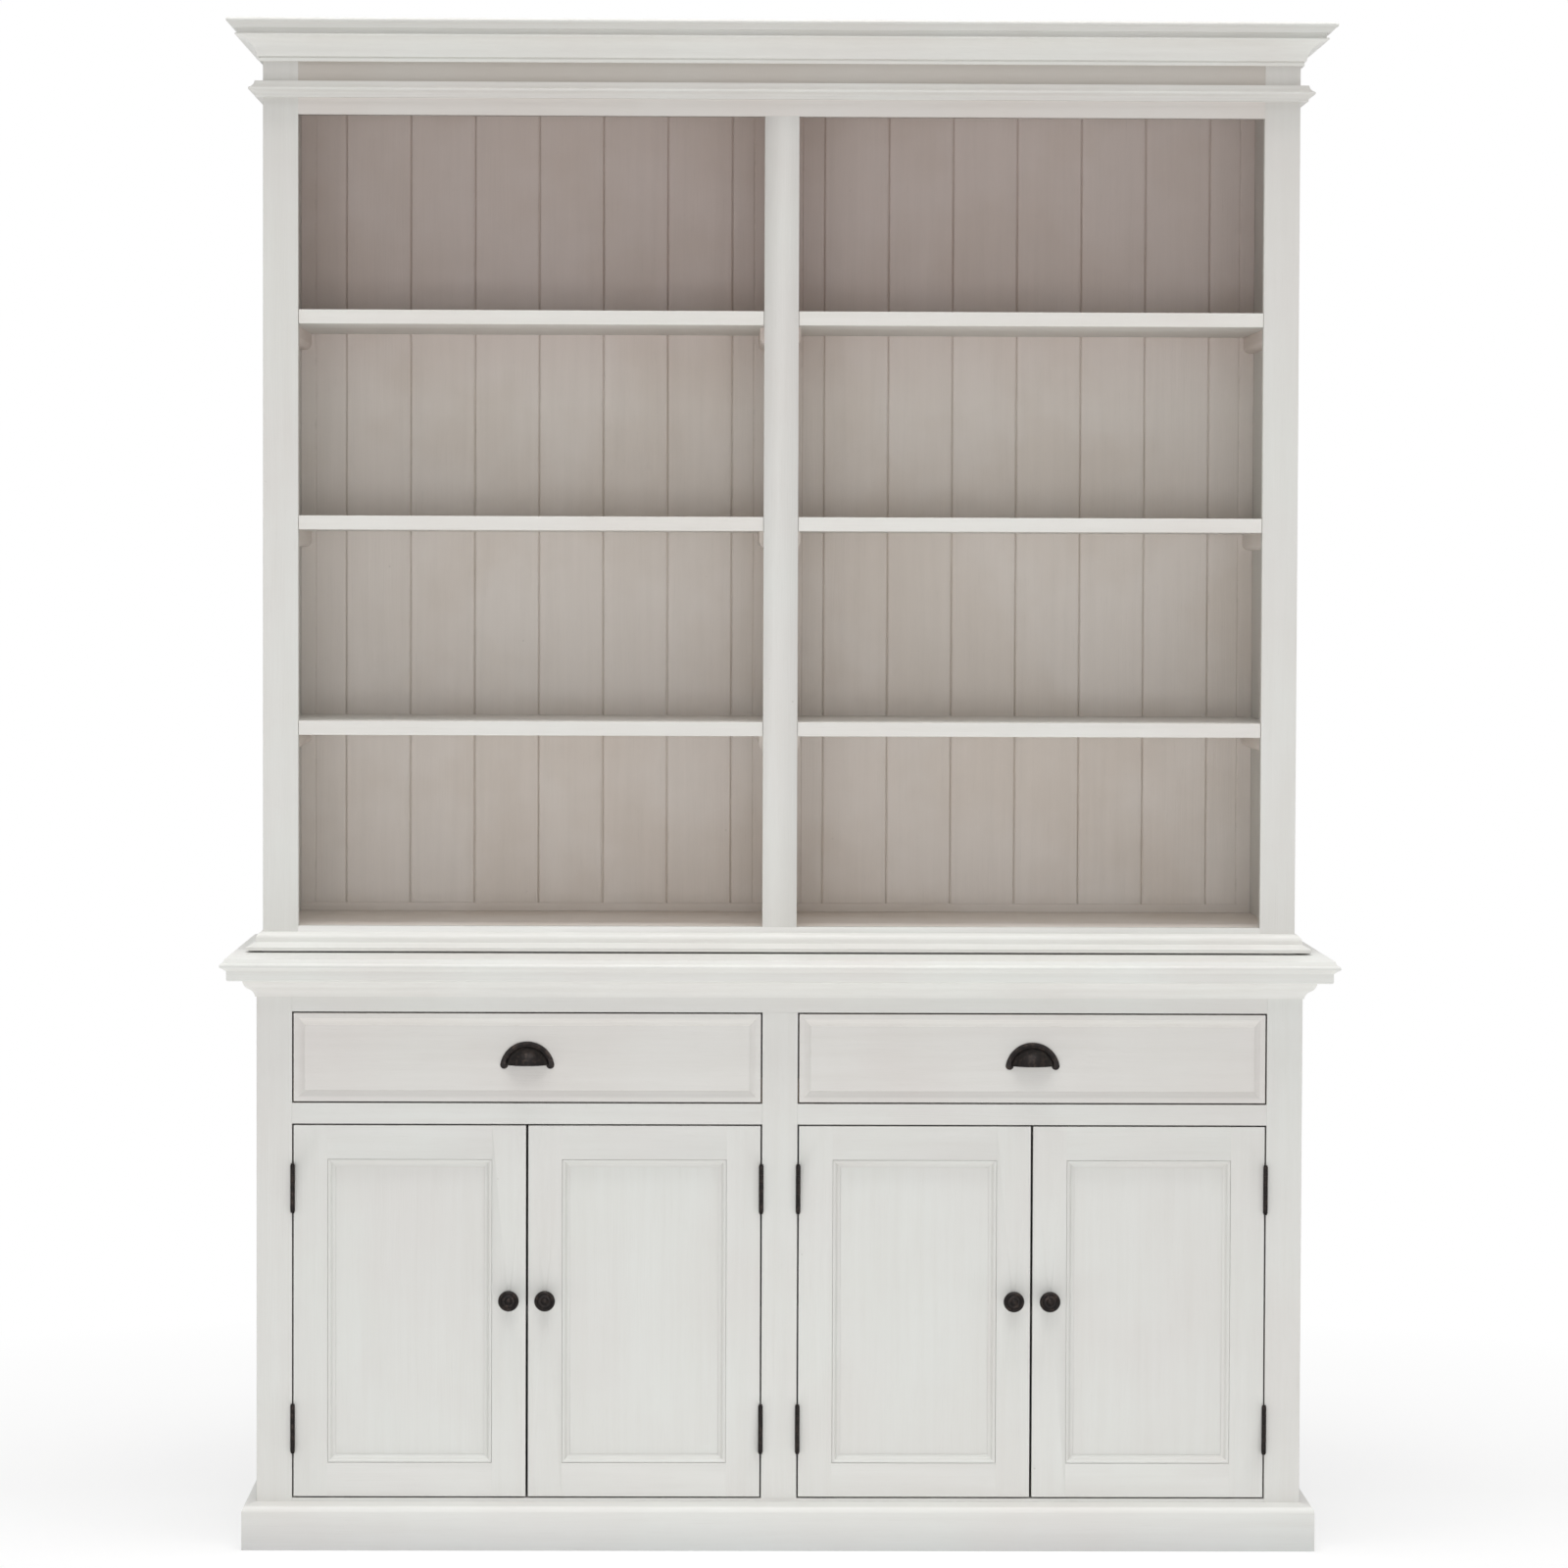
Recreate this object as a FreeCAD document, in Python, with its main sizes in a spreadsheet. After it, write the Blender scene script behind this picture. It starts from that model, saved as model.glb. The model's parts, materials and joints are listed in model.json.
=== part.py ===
import FreeCAD, Part

import math
import os
import re

import Sketcher

# Two-bay storage cabinet with an open hutch. Millimetres, +Z up, front towards -Y.
# The origin is on the floor, in the middle of the cabinet's width and depth.

SIZES = {
    # Carcass
    "carcass_width": 1360.0,
    "base_depth": 455.0,
    "hutch_depth": 350.0,
    "side_thickness": 26.0,
    "partition_thickness": 26.0,
    "frame_thickness": 22.0,
    "stile_width": 46.0,
    "base_centre_stile_width": 46.0,
    "hutch_centre_stile_width": 45.0,
    "carcass_board_thickness": 18.0,
    "back_inset": 2.0,
    "base_back_thickness": 6.0,
    # Heights of the base, from the floor up
    "bottom_rail_height": 66.0,
    "door_opening_height": 489.0,
    "middle_rail_height": 27.0,
    "drawer_opening_height": 119.0,
    "top_rail_height": 41.5,
    "counter_thickness": 29.0,
    # Heights of the hutch, from the counter up
    "hutch_bottom_rail_height": 34.0,
    "bay_clear_height": 251.5,
    "top_bay_clear_height": 255.0,
    "hutch_top_rail_height": 104.0,
    # Plinth
    "plinth_reach": 18.5,
    "plinth_height": 61.4,
    "plinth_slope_reach": 13.5,
    "plinth_slope_drop": 4.0,
    "plinth_arris_drop": 9.0,
    "plinth_arris_radius": 9.0,
    # Counter edge
    "counter_overhang": 45.0,
    "counter_step_reach": 38.5,
    "counter_step_drop": 5.7,
    "counter_step_run": 2.0,
    "counter_nose_radius": 3.2,
    "counter_quirk_drop": 4.0,
    "counter_fascia_reach": 36.5,
    "counter_fascia_radius": 3.0,
    # Moulding under the counter
    "bed_reach": 17.0,
    "bed_height": 22.0,
    "bed_lip": 2.5,
    "bed_middle_reach": 9.0,
    "bed_middle_drop": 12.0,
    "bed_foot_reach": 2.0,
    "bed_foot_lip": 1.5,
    "bed_curve_radius": 14.0,
    # Cornice
    "cornice_reach": 45.0,
    "cornice_nose_radius": 3.2,
    "cornice_slope_run": 5.6,
    "cornice_slope_drop": 6.4,
    "cornice_quirk_depth": 5.6,
    "cornice_quirk_height": 6.6,
    "cornice_band_reach": 34.2,
    "cornice_band_radius": 1.4,
    "cornice_cove_reach": 31.5,
    "cornice_cove_height": 25.5,
    "cornice_cove_foot_reach": 7.0,
    "cornice_cove_radius": 30.0,
    "cornice_foot_quirk_reach": 3.0,
    "cornice_foot_quirk_height": 1.8,
    "cornice_bead_reach": 4.6,
    "cornice_bead_height": 4.2,
    # Astragal round the frieze
    "astragal_height": 21.0,
    "astragal_top_drop": 79.6,
    "astragal_top_reach": 10.2,
    "astragal_foot_reach": 9.6,
    "astragal_reach": 18.2,
    "astragal_nose_radius": 2.4,
    "astragal_nose_drop": 8.2,
    "astragal_curve_radius": 11.0,
    "astragal_foot_lip": 3.0,
    # Moulding round the foot of the hutch
    "foot_moulding_gap": 2.5,
    "foot_moulding_height": 24.0,
    "foot_moulding_reach": 20.6,
    "foot_moulding_lip": 4.5,
    "foot_moulding_slope_rise": 6.0,
    "foot_moulding_step_reach": 9.2,
    "foot_moulding_round_drop": 9.0,
    "foot_moulding_round_radius": 11.0,
    # Shelves of the hutch
    "shelf_thickness": 18.5,
    "shelf_setback": 3.5,
    "shelf_clearance": 0.5,
    "cleat_thickness": 14.0,
    "cleat_height": 22.0,
    "cleat_setback": 60.0,
    "cleat_arris_radius": 9.0,
    # Back boards of the hutch
    "back_board_thickness": 10.0,
    "back_centre_board_width": 63.0,
    "back_end_board_width": 61.8,
    "back_joint_half_width": 2.0,
    "back_joint_depth": 1.4,
    "back_border_width": 20.0,
    "back_border_groove": 1.0,
    "back_batten_height": 11.5,
    "back_batten_thickness": 4.0,
    # Dowels between hutch and counter
    "dowel_radius": 4.0,
    "dowel_length": 30.0,
    "dowel_clearance": 0.1,
    "dowel_setback": 80.0,
    # Doors
    "door_gap": 2.0,
    "door_meeting_gap": 3.0,
    "door_thickness": 20.0,
    "door_stile_width": 44.0,
    "door_rail_width": 44.0,
    "door_panel_recess": 8.0,
    "door_panel_thickness": 7.0,
    "door_groove_depth": 6.0,
    "door_groove_clearance": 0.1,
    "door_panel_fit": 0.5,
    "bead_width": 10.5,
    "bead_set_back": 0.8,
    "bead_lip": 1.4,
    "bead_middle_run": 5.6,
    "bead_middle_drop": 4.0,
    "bead_foot_run": 1.0,
    "bead_foot_lip": 0.8,
    "bead_curve_radius": 5.0,
    # Butt hinges
    "hinge_height": 61.0,
    "hinge_knuckle_radius": 3.0,
    "hinge_pin_radius": 1.5,
    "hinge_pin_clearance": 0.05,
    "hinge_leaf_thickness": 1.5,
    "hinge_leaf_width": 16.0,
    "hinge_stand_off": 3.3,
    "hinge_relief": 0.4,
    "hinge_joint_clearance": 0.2,
    "hinge_mortise_clearance": 0.1,
    "hinge_tip_radius": 2.4,
    "hinge_tip_height": 1.8,
    "hinge_top_offset": 84.0,
    "hinge_bottom_offset": 91.0,
    # Knobs
    "knob_height": 326.0,
    "knob_edge_offset": 22.0,
    "knob_radius": 13.5,
    "knob_projection": 25.0,
    "knob_rose_radius": 8.0,
    "knob_rose_thickness": 2.0,
    "knob_neck_radius": 5.0,
    "knob_neck_end": 9.5,
    "knob_back": 16.0,
    "knob_back_radius": 12.0,
    "knob_rim_end": 19.5,
    "knob_face_radius": 10.6,
    "knob_face_depth": 22.8,
    "knob_edge_radius": 4.4,
    "knob_groove": 0.8,
    "knob_boss_radius": 4.4,
    "knob_screw_radius": 2.0,
    "knob_screw_reach": 8.0,
    "knob_screw_clearance": 0.1,
    "knob_screw_head_radius": 4.0,
    "knob_screw_head_thickness": 2.4,
    # Drawers
    "drawer_gap": 2.0,
    "drawer_front_thickness": 20.0,
    "drawer_field_rise": 4.0,
    "drawer_lip": 4.0,
    "drawer_cove_width": 11.0,
    "drawer_box_margin": 6.0,
    "drawer_box_length": 400.0,
    "drawer_box_height": 92.0,
    "drawer_side_thickness": 12.0,
    "drawer_bottom_thickness": 6.0,
    "drawer_bottom_rise": 10.0,
    "drawer_groove_depth": 5.0,
    "drawer_groove_clearance": 0.1,
    "drawer_running_clearance": 0.3,
    "drawer_guide_clearance": 0.6,
    "runner_height": 16.0,
    "runner_cover": 16.0,
    "guide_height": 30.0,
    # Cup pulls
    "pull_rise": 43.5,
    "pull_mouth_rise": 5.2,
    "pull_flange_radius": 35.5,
    "pull_flange_thickness": 2.0,
    "pull_dome_radius": 29.0,
    "pull_dome_depth": 23.0,
    "pull_wall": 2.0,
    "pull_ear_radius": 5.2,
    "pull_screw_height": 11.5,
    "pull_screw_ring_radius": 32.3,
    "pull_screw_radius": 1.5,
    "pull_screw_length": 14.0,
    "pull_screw_clearance": 0.1,
    "pull_screw_head_radius": 2.7,
    "pull_screw_head_thickness": 1.4,
    # Cupboards
    "cupboard_shelf_height": 292.0,
    "cupboard_shelf_thickness": 18.0,
    "cupboard_shelf_setback": 40.0,
    "cupboard_cleat_thickness": 14.0,
    "cupboard_cleat_height": 20.0,
    "catch_length": 42.0,
    "catch_depth": 14.0,
    "catch_height": 20.0,
    "catch_hang": 10.0,
    "catch_offset": 60.0,
    # Extra reach of every cutting shape
    "overrun": 5.0,
}

# Back boards of equal width in a bay, and knuckles of a hinge.
JOINTED_BOARDS = 6
KNUCKLES = 5

# Places worked out from the sizes, each written once.
PLACES = {
    "rear_y": "(base_depth + counter_overhang) / 2",
    "half_width": "carcass_width / 2",
    "inner_x": "half_width - side_thickness",
    "partition_x": "partition_thickness / 2",
    "stile_x": "half_width - stile_width",
    "base_front_y": "rear_y - base_depth",
    "base_frame_back_y": "base_front_y + frame_thickness",
    "base_back_y": "rear_y - back_inset - base_back_thickness",
    "base_centre_x": "base_centre_stile_width / 2",
    "hutch_front_y": "rear_y - hutch_depth",
    "hutch_frame_back_y": "hutch_front_y + frame_thickness",
    "hutch_back_y": "rear_y - back_inset - back_board_thickness",
    "hutch_centre_x": "hutch_centre_stile_width / 2",
    "door_foot_z": "bottom_rail_height",
    "door_head_z": "door_foot_z + door_opening_height",
    "drawer_foot_z": "door_head_z + middle_rail_height",
    "drawer_head_z": "drawer_foot_z + drawer_opening_height",
    "carcass_top_z": "drawer_head_z + top_rail_height",
    "counter_top_z": "carcass_top_z + counter_thickness",
    "hutch_floor_z": "counter_top_z + hutch_bottom_rail_height",
    "back_boards_span": "inner_x - back_centre_board_width - back_end_board_width",
    "back_board_pitch": f"back_boards_span / {JOINTED_BOARDS}",
    "shelf_pitch": "bay_clear_height + shelf_thickness",
    "hutch_head_z": "hutch_floor_z + 3 * shelf_pitch + top_bay_clear_height",
    "hutch_frame_top_z": "hutch_head_z + hutch_top_rail_height",
    "hutch_top_z": "hutch_frame_top_z + carcass_board_thickness",
    "bay_width": "stile_x - base_centre_x",
    "bay_centre_x": "(stile_x + base_centre_x) / 2",
    "door_width": "(bay_width - 2 * door_gap - door_meeting_gap) / 2",
    "door_edge_x": "door_gap / 2",
    "door_meeting_x": "door_edge_x + door_width",
    "door_low_z": "door_foot_z + door_gap",
    "door_high_z": "door_head_z - door_gap",
    "door_back_y": "base_front_y + door_thickness",
    "outer_axis_x": "stile_x - door_gap / 2",
    "inner_axis_x": "base_centre_x + door_gap / 2",
    "hinge_axis_y": "base_front_y - hinge_stand_off",
    "hinge_top_z": "door_head_z - hinge_top_offset",
    "hinge_bottom_z": "door_foot_z + hinge_bottom_offset",
    "panel_front_y": "base_front_y + door_panel_recess",
    "panel_back_y": "panel_front_y + door_panel_thickness",
    "knob_x": "door_meeting_x - knob_edge_offset",
    "drawer_half_width": "bay_width / 2 - drawer_gap",
    "drawer_low_z": "drawer_foot_z + drawer_gap",
    "drawer_high_z": "drawer_head_z - drawer_gap",
    "drawer_front_back_y": "base_front_y + drawer_front_thickness",
    "box_half_width": "bay_width / 2 - drawer_box_margin",
    "box_inner_x": "box_half_width - drawer_side_thickness",
    "box_back_y": "drawer_front_back_y + drawer_box_length",
    "drawer_bottom_z": "drawer_low_z + drawer_bottom_rise",
    "field_y": "base_front_y - drawer_field_rise",
    "pull_z": "drawer_low_z + pull_rise",
    "pull_mouth_z": "pull_z + pull_mouth_rise",
    "runner_top_z": "drawer_low_z - drawer_running_clearance",
}

DOCUMENT = FreeCAD.newDocument("cabinet_with_hutch")
WORD = re.compile(r"[a-z_]+")
NODES = []


def make_sheet():
    """Writes every driving size into the sheet, with its alias."""
    sheet = DOCUMENT.addObject("Spreadsheet::Sheet", "Sizes")
    for row, (alias, value) in enumerate(SIZES.items(), start=1):
        sheet.set(f"A{row}", alias)
        sheet.set(f"B{row}", repr(value))
        sheet.setAlias(f"B{row}", alias)
    DOCUMENT.recompute()
    return sheet


def spelled(text):
    """Writes out a formula of sizes and places as a formula of sheet cells."""

    def swap(match):
        word = match.group(0)
        if word in PLACES:
            return f"({spelled(PLACES[word])})"
        return f"Sizes.{word}" if word in SIZES else word

    return WORD.sub(swap, text)


def bind(item, formulas):
    """Ties properties of an object to formulas of sizes."""
    for name, text in formulas.items():
        item.setExpression(name, spelled(text))


def node(label, items):
    """Keeps one sub-part: a piece, or a group of separate pieces, under its node name."""
    if len(items) == 1:
        kept = items[0]
    else:
        kept = DOCUMENT.addObject("Part::Compound", f"{label}_group")
        kept.Links = items
    kept.Label = label
    NODES.append(kept)


def board(name, low, size):
    """A rectangular board from its low corner and its three sizes."""
    item = DOCUMENT.addObject("Part::Box", name)
    bind(item, dict(zip(("Placement.Base.x", "Placement.Base.y", "Placement.Base.z"), low)))
    bind(item, dict(zip(("Length", "Width", "Height"), size)))
    return item


def mirrored(name, source):
    """The same piece on the other side of the cabinet's middle plane."""
    item = DOCUMENT.addObject("Part::Mirroring", name)
    item.Source = source
    item.Normal = FreeCAD.Vector(1, 0, 0)
    return item


def moved(name, sources, shift):
    """The same pieces shifted by three formulas."""
    item = DOCUMENT.addObject("Part::Compound", name)
    item.Links = sources
    bind(item, dict(zip(("Placement.Base.x", "Placement.Base.y", "Placement.Base.z"), shift)))
    return item


def cut(name, base, tools):
    """A piece with other shapes cut away."""
    tool = tools[0]
    if len(tools) > 1:
        tool = DOCUMENT.addObject("Part::Compound", f"{name}_tools")
        tool.Links = tools
    item = DOCUMENT.addObject("Part::Cut", name)
    item.Base = base
    item.Tool = tool
    return item


def common(name, first, second):
    """What two shapes share."""
    item = DOCUMENT.addObject("Part::Common", name)
    item.Base = first
    item.Tool = second
    return item


def arc_edge(start, end, radius, turn):
    """An arc of under half a circle; turn is 1 when it bends left and -1 when it bends right."""
    chord = end - start
    middle = (start + end) * 0.5
    left = FreeCAD.Vector(-chord.y, chord.x, 0).normalize() * turn
    rise = math.sqrt(max(radius**2 - (chord.Length / 2) ** 2, 0))
    centre = middle + left * rise
    crown = centre - left * radius
    return Part.Arc(start, crown, end) if turn > 0 else Part.Arc(end, crown, start)


def end_near(sketch, index, point):
    """Which end of a sketch edge lies at a point."""
    edge = sketch.Geometry[index]
    starts_there = (edge.StartPoint - point).Length < (edge.EndPoint - point).Length
    return 1 if starts_there else 2


def draw(body, name, role, outline, offset="0"):
    """
    A closed sketch on one of the body's own planes.

    outline holds (u, v) corners as formulas. A corner with a radius and a turn after it is
    reached from the corner before it by an arc. offset is the plane's place along its normal.
    """
    plane = next(item for item in body.Origin.OriginFeatures if item.Role == role)
    sketch = body.newObject("Sketcher::SketchObject", name)
    sketch.AttachmentSupport = [(plane, "")]
    sketch.MapMode = "FlatFace"
    bind(sketch, {"AttachmentOffset.Base.z": offset})
    formulas = [(spelled(corner[0]), spelled(corner[1])) for corner in outline]
    points = [
        FreeCAD.Vector(sketch.evalExpression(u), sketch.evalExpression(v), 0) for u, v in formulas
    ]
    bends = []
    edges = []
    for corner, start, end in zip(outline[1:] + outline[:1], points, points[1:] + points[:1]):
        if corner[2:]:
            text = spelled(corner[2])
            radius = float(sketch.evalExpression(text))
            bends.append((len(edges), radius, text))
            edges.append(arc_edge(start, end, radius, corner[3]))
        else:
            edges.append(Part.LineSegment(start, end))
    sketch.addGeometry(edges, False)
    rules = []
    texts = []
    for index, point in enumerate(points):
        corner = end_near(sketch, index, point)
        before = (index - 1) % len(points)
        arriving = end_near(sketch, before, point)
        rules.append(Sketcher.Constraint("Coincident", before, arriving, index, corner))
        texts.append("")
        for kind, place, text in zip(("DistanceX", "DistanceY"), point, formulas[index]):
            rules.append(Sketcher.Constraint(kind, -1, 1, index, corner, place))
            texts.append(text)
    for index, radius, text in bends:
        rules.append(Sketcher.Constraint("Radius", index, radius))
        texts.append(text)
    sketch.addConstraint(rules)
    for number, text in enumerate(texts):
        if text:
            sketch.setExpression(f"Constraints[{number}]", text)
    return sketch


def prism(name, role, outline, start, end):
    """An outline on the XY, XZ or YZ plane, drawn out from start to end along the third axis."""
    body = DOCUMENT.addObject("PartDesign::Body", name)
    sign = "-" if role == "XZ_Plane" else ""
    offset = f"{sign}(({start}) + ({end})) / 2"
    sketch = draw(body, f"{name}_outline", role, outline, offset)
    pad = body.newObject("PartDesign::Pad", f"{name}_pad")
    pad.Profile = sketch
    pad.Midplane = True
    bind(pad, {"Length": f"({end}) - ({start})"})
    return body


def mitred(body, role, outlines, level):
    """Saws corners off a prism, right through it, along the normal of a plane at a level."""
    for number, outline in enumerate(outlines, start=1):
        sketch = draw(body, f"{body.Name}_saw_{number}", role, outline, level)
        DOCUMENT.recompute()
        before = body.Shape.Volume
        pocket = body.newObject("PartDesign::Pocket", f"{body.Name}_mitre_{number}")
        pocket.Profile = sketch
        pocket.Type = "ThroughAll"
        pocket.Midplane = True
        DOCUMENT.recompute()
        if body.Shape.Volume >= before:
            raise ValueError(f"a mitre of {body.Name} cuts nothing")
    return body


def turned(name, outline, place):
    """A turned piece about an axis along Y; outline holds (radius, depth) corners."""
    body = DOCUMENT.addObject("PartDesign::Body", name)
    sketch = draw(body, f"{name}_outline", "XY_Plane", outline)
    spin = body.newObject("PartDesign::Revolution", f"{name}_turning")
    spin.Profile = sketch
    spin.ReferenceAxis = (sketch, ["V_Axis"])
    spin.Angle = 360
    bind(body, dict(zip(("Placement.Base.x", "Placement.Base.y", "Placement.Base.z"), place)))
    return body


def rod(name, radius, low, length, along="z"):
    """A round rod from the middle of its low end, along Z or Y."""
    item = DOCUMENT.addObject("Part::Cylinder", name)
    bind(item, {"Radius": radius, "Height": length})
    bind(item, dict(zip(("Placement.Base.x", "Placement.Base.y", "Placement.Base.z"), low)))
    if along == "y":
        item.Placement.Rotation = FreeCAD.Rotation(FreeCAD.Vector(1, 0, 0), -90)
    return item


def moulding(name, profile, reach, front):
    """
    A moulding round the front and both ends, as three mitred lengths.

    profile holds (reach from the carcass, height) corners, reach its largest reach, and front
    the plane of the carcass face that it is fixed to.
    """
    over = "overrun"
    shown = []
    for corner in profile:
        bend = (corner[2], -corner[3]) if len(corner) > 2 else ()
        shown.append((f"{front} - ({corner[0]})", corner[1], *bend))
    length = f"half_width + {reach}"
    face = prism(f"{name}_front", "YZ_Plane", shown, f"-({length})", length)
    saws = []
    for side in ("", "-"):
        saws.append(
            [
                (f"{side}(half_width - {over})", f"{front} + {over}"),
                (f"{side}({length} + {over})", f"{front} - {reach} - {over}"),
                (f"{side}({length} + {over})", f"{front} + {over}"),
            ]
        )
    mitred(face, "XY_Plane", saws, profile[0][1])
    shown = [(f"half_width + ({corner[0]})", *corner[1:]) for corner in profile]
    right = prism(f"{name}_right", "XZ_Plane", shown, f"{front} - {reach}", "rear_y")
    saw = [
        (f"half_width - {over}", f"{front} + {over}"),
        (f"half_width - {over}", f"{front} - {reach} - {over}"),
        (f"{length} + {over}", f"{front} - {reach} - {over}"),
    ]
    mitred(right, "XY_Plane", [saw], profile[0][1])
    return face, right, mirrored(f"{name}_left", right)


def make_base_carcass():
    """End panels, partition, floor, back and face frame of the base."""
    depth = "rear_y - (base_frame_back_y)"
    floor_z = "door_foot_z - carcass_board_thickness"
    right = board(
        "base_end_panel",
        ("inner_x", "base_frame_back_y", "0"),
        ("side_thickness", depth, "carcass_top_z"),
    )
    node("base_side_right", [right])
    node("base_side_left", [mirrored("base_end_panel_mirror", right)])
    inside = "base_back_y - (base_frame_back_y)"
    node(
        "base_partition",
        [
            board(
                "base_partition_board",
                ("-partition_x", "base_frame_back_y", "door_foot_z"),
                ("partition_thickness", inside, "carcass_top_z - (door_foot_z)"),
            )
        ],
    )
    node(
        "base_bottom_board",
        [
            board(
                "base_floor",
                ("-(inner_x)", "base_frame_back_y", floor_z),
                ("2 * inner_x", inside, "carcass_board_thickness"),
            )
        ],
    )
    node(
        "base_back_panel",
        [
            board(
                "base_back",
                ("-(inner_x)", "base_back_y", floor_z),
                ("2 * inner_x", "base_back_thickness", f"carcass_top_z - ({floor_z})"),
            )
        ],
    )
    corner = board(
        "base_corner_stile_blank",
        ("stile_x", "base_front_y", "0"),
        ("stile_width", "frame_thickness", "carcass_top_z"),
    )
    corner = cut("base_corner_stile", corner, mortises("outer_axis_x", 1))
    centre = board(
        "base_centre_stile_blank",
        ("-(base_centre_x)", "base_front_y", "door_foot_z"),
        ("base_centre_stile_width", "frame_thickness", "drawer_head_z - (door_foot_z)"),
    )
    inner = mortises("inner_axis_x", -1)
    inner += [mirrored(f"{item.Name}_mirror", item) for item in inner]
    centre = cut("base_centre_stile", centre, inner)
    node("base_stiles", [corner, centre, mirrored("base_corner_stile_mirror", corner)])
    node(
        "base_top_rail",
        [
            board(
                "base_head_rail",
                ("-(stile_x)", "base_front_y", "drawer_head_z"),
                ("2 * stile_x", "frame_thickness", "top_rail_height"),
            )
        ],
    )
    rail = board(
        "base_middle_rail",
        ("base_centre_x", "base_front_y", "door_head_z"),
        ("bay_width", "frame_thickness", "middle_rail_height"),
    )
    node("base_middle_rails", [rail, mirrored("base_middle_rail_mirror", rail)])
    node(
        "base_bottom_rail",
        [
            board(
                "base_foot_rail",
                ("-(stile_x)", "base_front_y", "0"),
                ("2 * stile_x", "frame_thickness", "bottom_rail_height"),
            )
        ],
    )


def mortises(axis_x, side):
    """Hinge recesses in a frame stile; side is 1 where the stile lies beyond the axis."""
    depth = "hinge_leaf_thickness + hinge_mortise_clearance"
    low_x = f"{axis_x} + door_edge_x - overrun"
    if side < 0:
        low_x = f"{axis_x} - door_edge_x - ({depth})"
    return [
        board(
            f"frame_mortise_{axis_x}_{level}",
            (
                low_x,
                "base_front_y - overrun",
                f"hinge_{level}_z - hinge_height / 2 - hinge_mortise_clearance",
            ),
            (
                f"overrun + {depth}",
                "overrun + hinge_leaf_width + hinge_mortise_clearance",
                "hinge_height + 2 * hinge_mortise_clearance",
            ),
        )
        for level in ("top", "bottom")
    ]


def make_cupboard_fittings():
    """Shelves on cleats and the door catches inside the base."""
    front = "base_frame_back_y + cupboard_shelf_setback"
    deep = f"base_back_y - ({front})"
    under = "cupboard_shelf_height - cupboard_cleat_height"
    shelf = board(
        "cupboard_shelf",
        ("partition_x", front, "cupboard_shelf_height"),
        ("inner_x - partition_x", deep, "cupboard_shelf_thickness"),
    )
    node("cupboard_shelves", [shelf, mirrored("cupboard_shelf_mirror", shelf)])
    size = ("cupboard_cleat_thickness", deep, "cupboard_cleat_height")
    cleats = [
        board("cupboard_cleat_inner", ("partition_x", front, under), size),
        board("cupboard_cleat_outer", ("inner_x - cupboard_cleat_thickness", front, under), size),
    ]
    cleats += [mirrored(f"{item.Name}_mirror", item) for item in cleats]
    node("cupboard_shelf_cleats", cleats)
    catches = [
        board(
            f"catch_{name}",
            (
                f"bay_centre_x {sign} catch_offset - catch_length / 2",
                "base_frame_back_y",
                "door_head_z - catch_hang",
            ),
            ("catch_length", "catch_depth", "catch_height"),
        )
        for name, sign in (("inner", "-"), ("outer", "+"))
    ]
    catches += [mirrored(f"{item.Name}_mirror", item) for item in catches]
    node("door_catches", catches)


def make_drawer_supports():
    """An L-shaped runner at each drawer side: it bears the side and guides it."""
    low = "runner_top_z - runner_height"
    high = "runner_top_z + guide_height"
    plans = (
        (
            "outer",
            "inner_x",
            "bay_centre_x + box_half_width + drawer_guide_clearance",
            "bay_centre_x + box_half_width - runner_cover",
            -1,
        ),
        (
            "inner",
            "partition_x",
            "bay_centre_x - (box_half_width) - drawer_guide_clearance",
            "bay_centre_x - (box_half_width) + runner_cover",
            1,
        ),
    )
    runners = []
    for name, wall, guide, end, order in plans:
        outline = [
            (wall, low),
            (end, low),
            (end, "runner_top_z"),
            (guide, "runner_top_z"),
            (guide, high),
            (wall, high),
        ]
        outline = outline[::order]
        runners.append(
            prism(f"runner_{name}", "XZ_Plane", outline, "base_frame_back_y", "base_back_y")
        )
    runners += [mirrored(f"{item.Name}_mirror", item) for item in runners]
    node("drawer_runners", runners)


def make_plinth():
    """Skirting round the foot, with a sloped top and a rounded arris."""
    shoulder = "plinth_height - plinth_slope_drop"
    profile = [
        ("0", "0"),
        ("plinth_reach", "0"),
        ("plinth_reach", f"{shoulder} - plinth_arris_drop"),
        ("plinth_slope_reach", shoulder, "plinth_arris_radius", 1),
        ("0", "plinth_height"),
    ]
    node("plinth", list(moulding("plinth", profile, "plinth_reach", "base_front_y")))


def counter_edge():
    """The counter's edge as (reach, height) corners, from the underside up."""
    step = "counter_top_z - counter_step_drop"
    quirk = "counter_overhang - counter_nose_radius"
    under_nose = f"{step} - 2 * counter_nose_radius"
    fascia_top = f"{under_nose} - counter_quirk_drop"
    return [
        ("counter_fascia_reach - counter_fascia_radius", "carcass_top_z"),
        (
            "counter_fascia_reach",
            "carcass_top_z + counter_fascia_radius",
            "counter_fascia_radius",
            1,
        ),
        ("counter_fascia_reach", fascia_top),
        (quirk, under_nose),
        ("counter_overhang", f"{step} - counter_nose_radius", "counter_nose_radius", 1),
        (quirk, step, "counter_nose_radius", 1),
        ("counter_step_reach + counter_step_run", step),
        ("counter_step_reach", "counter_top_z"),
    ]


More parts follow.
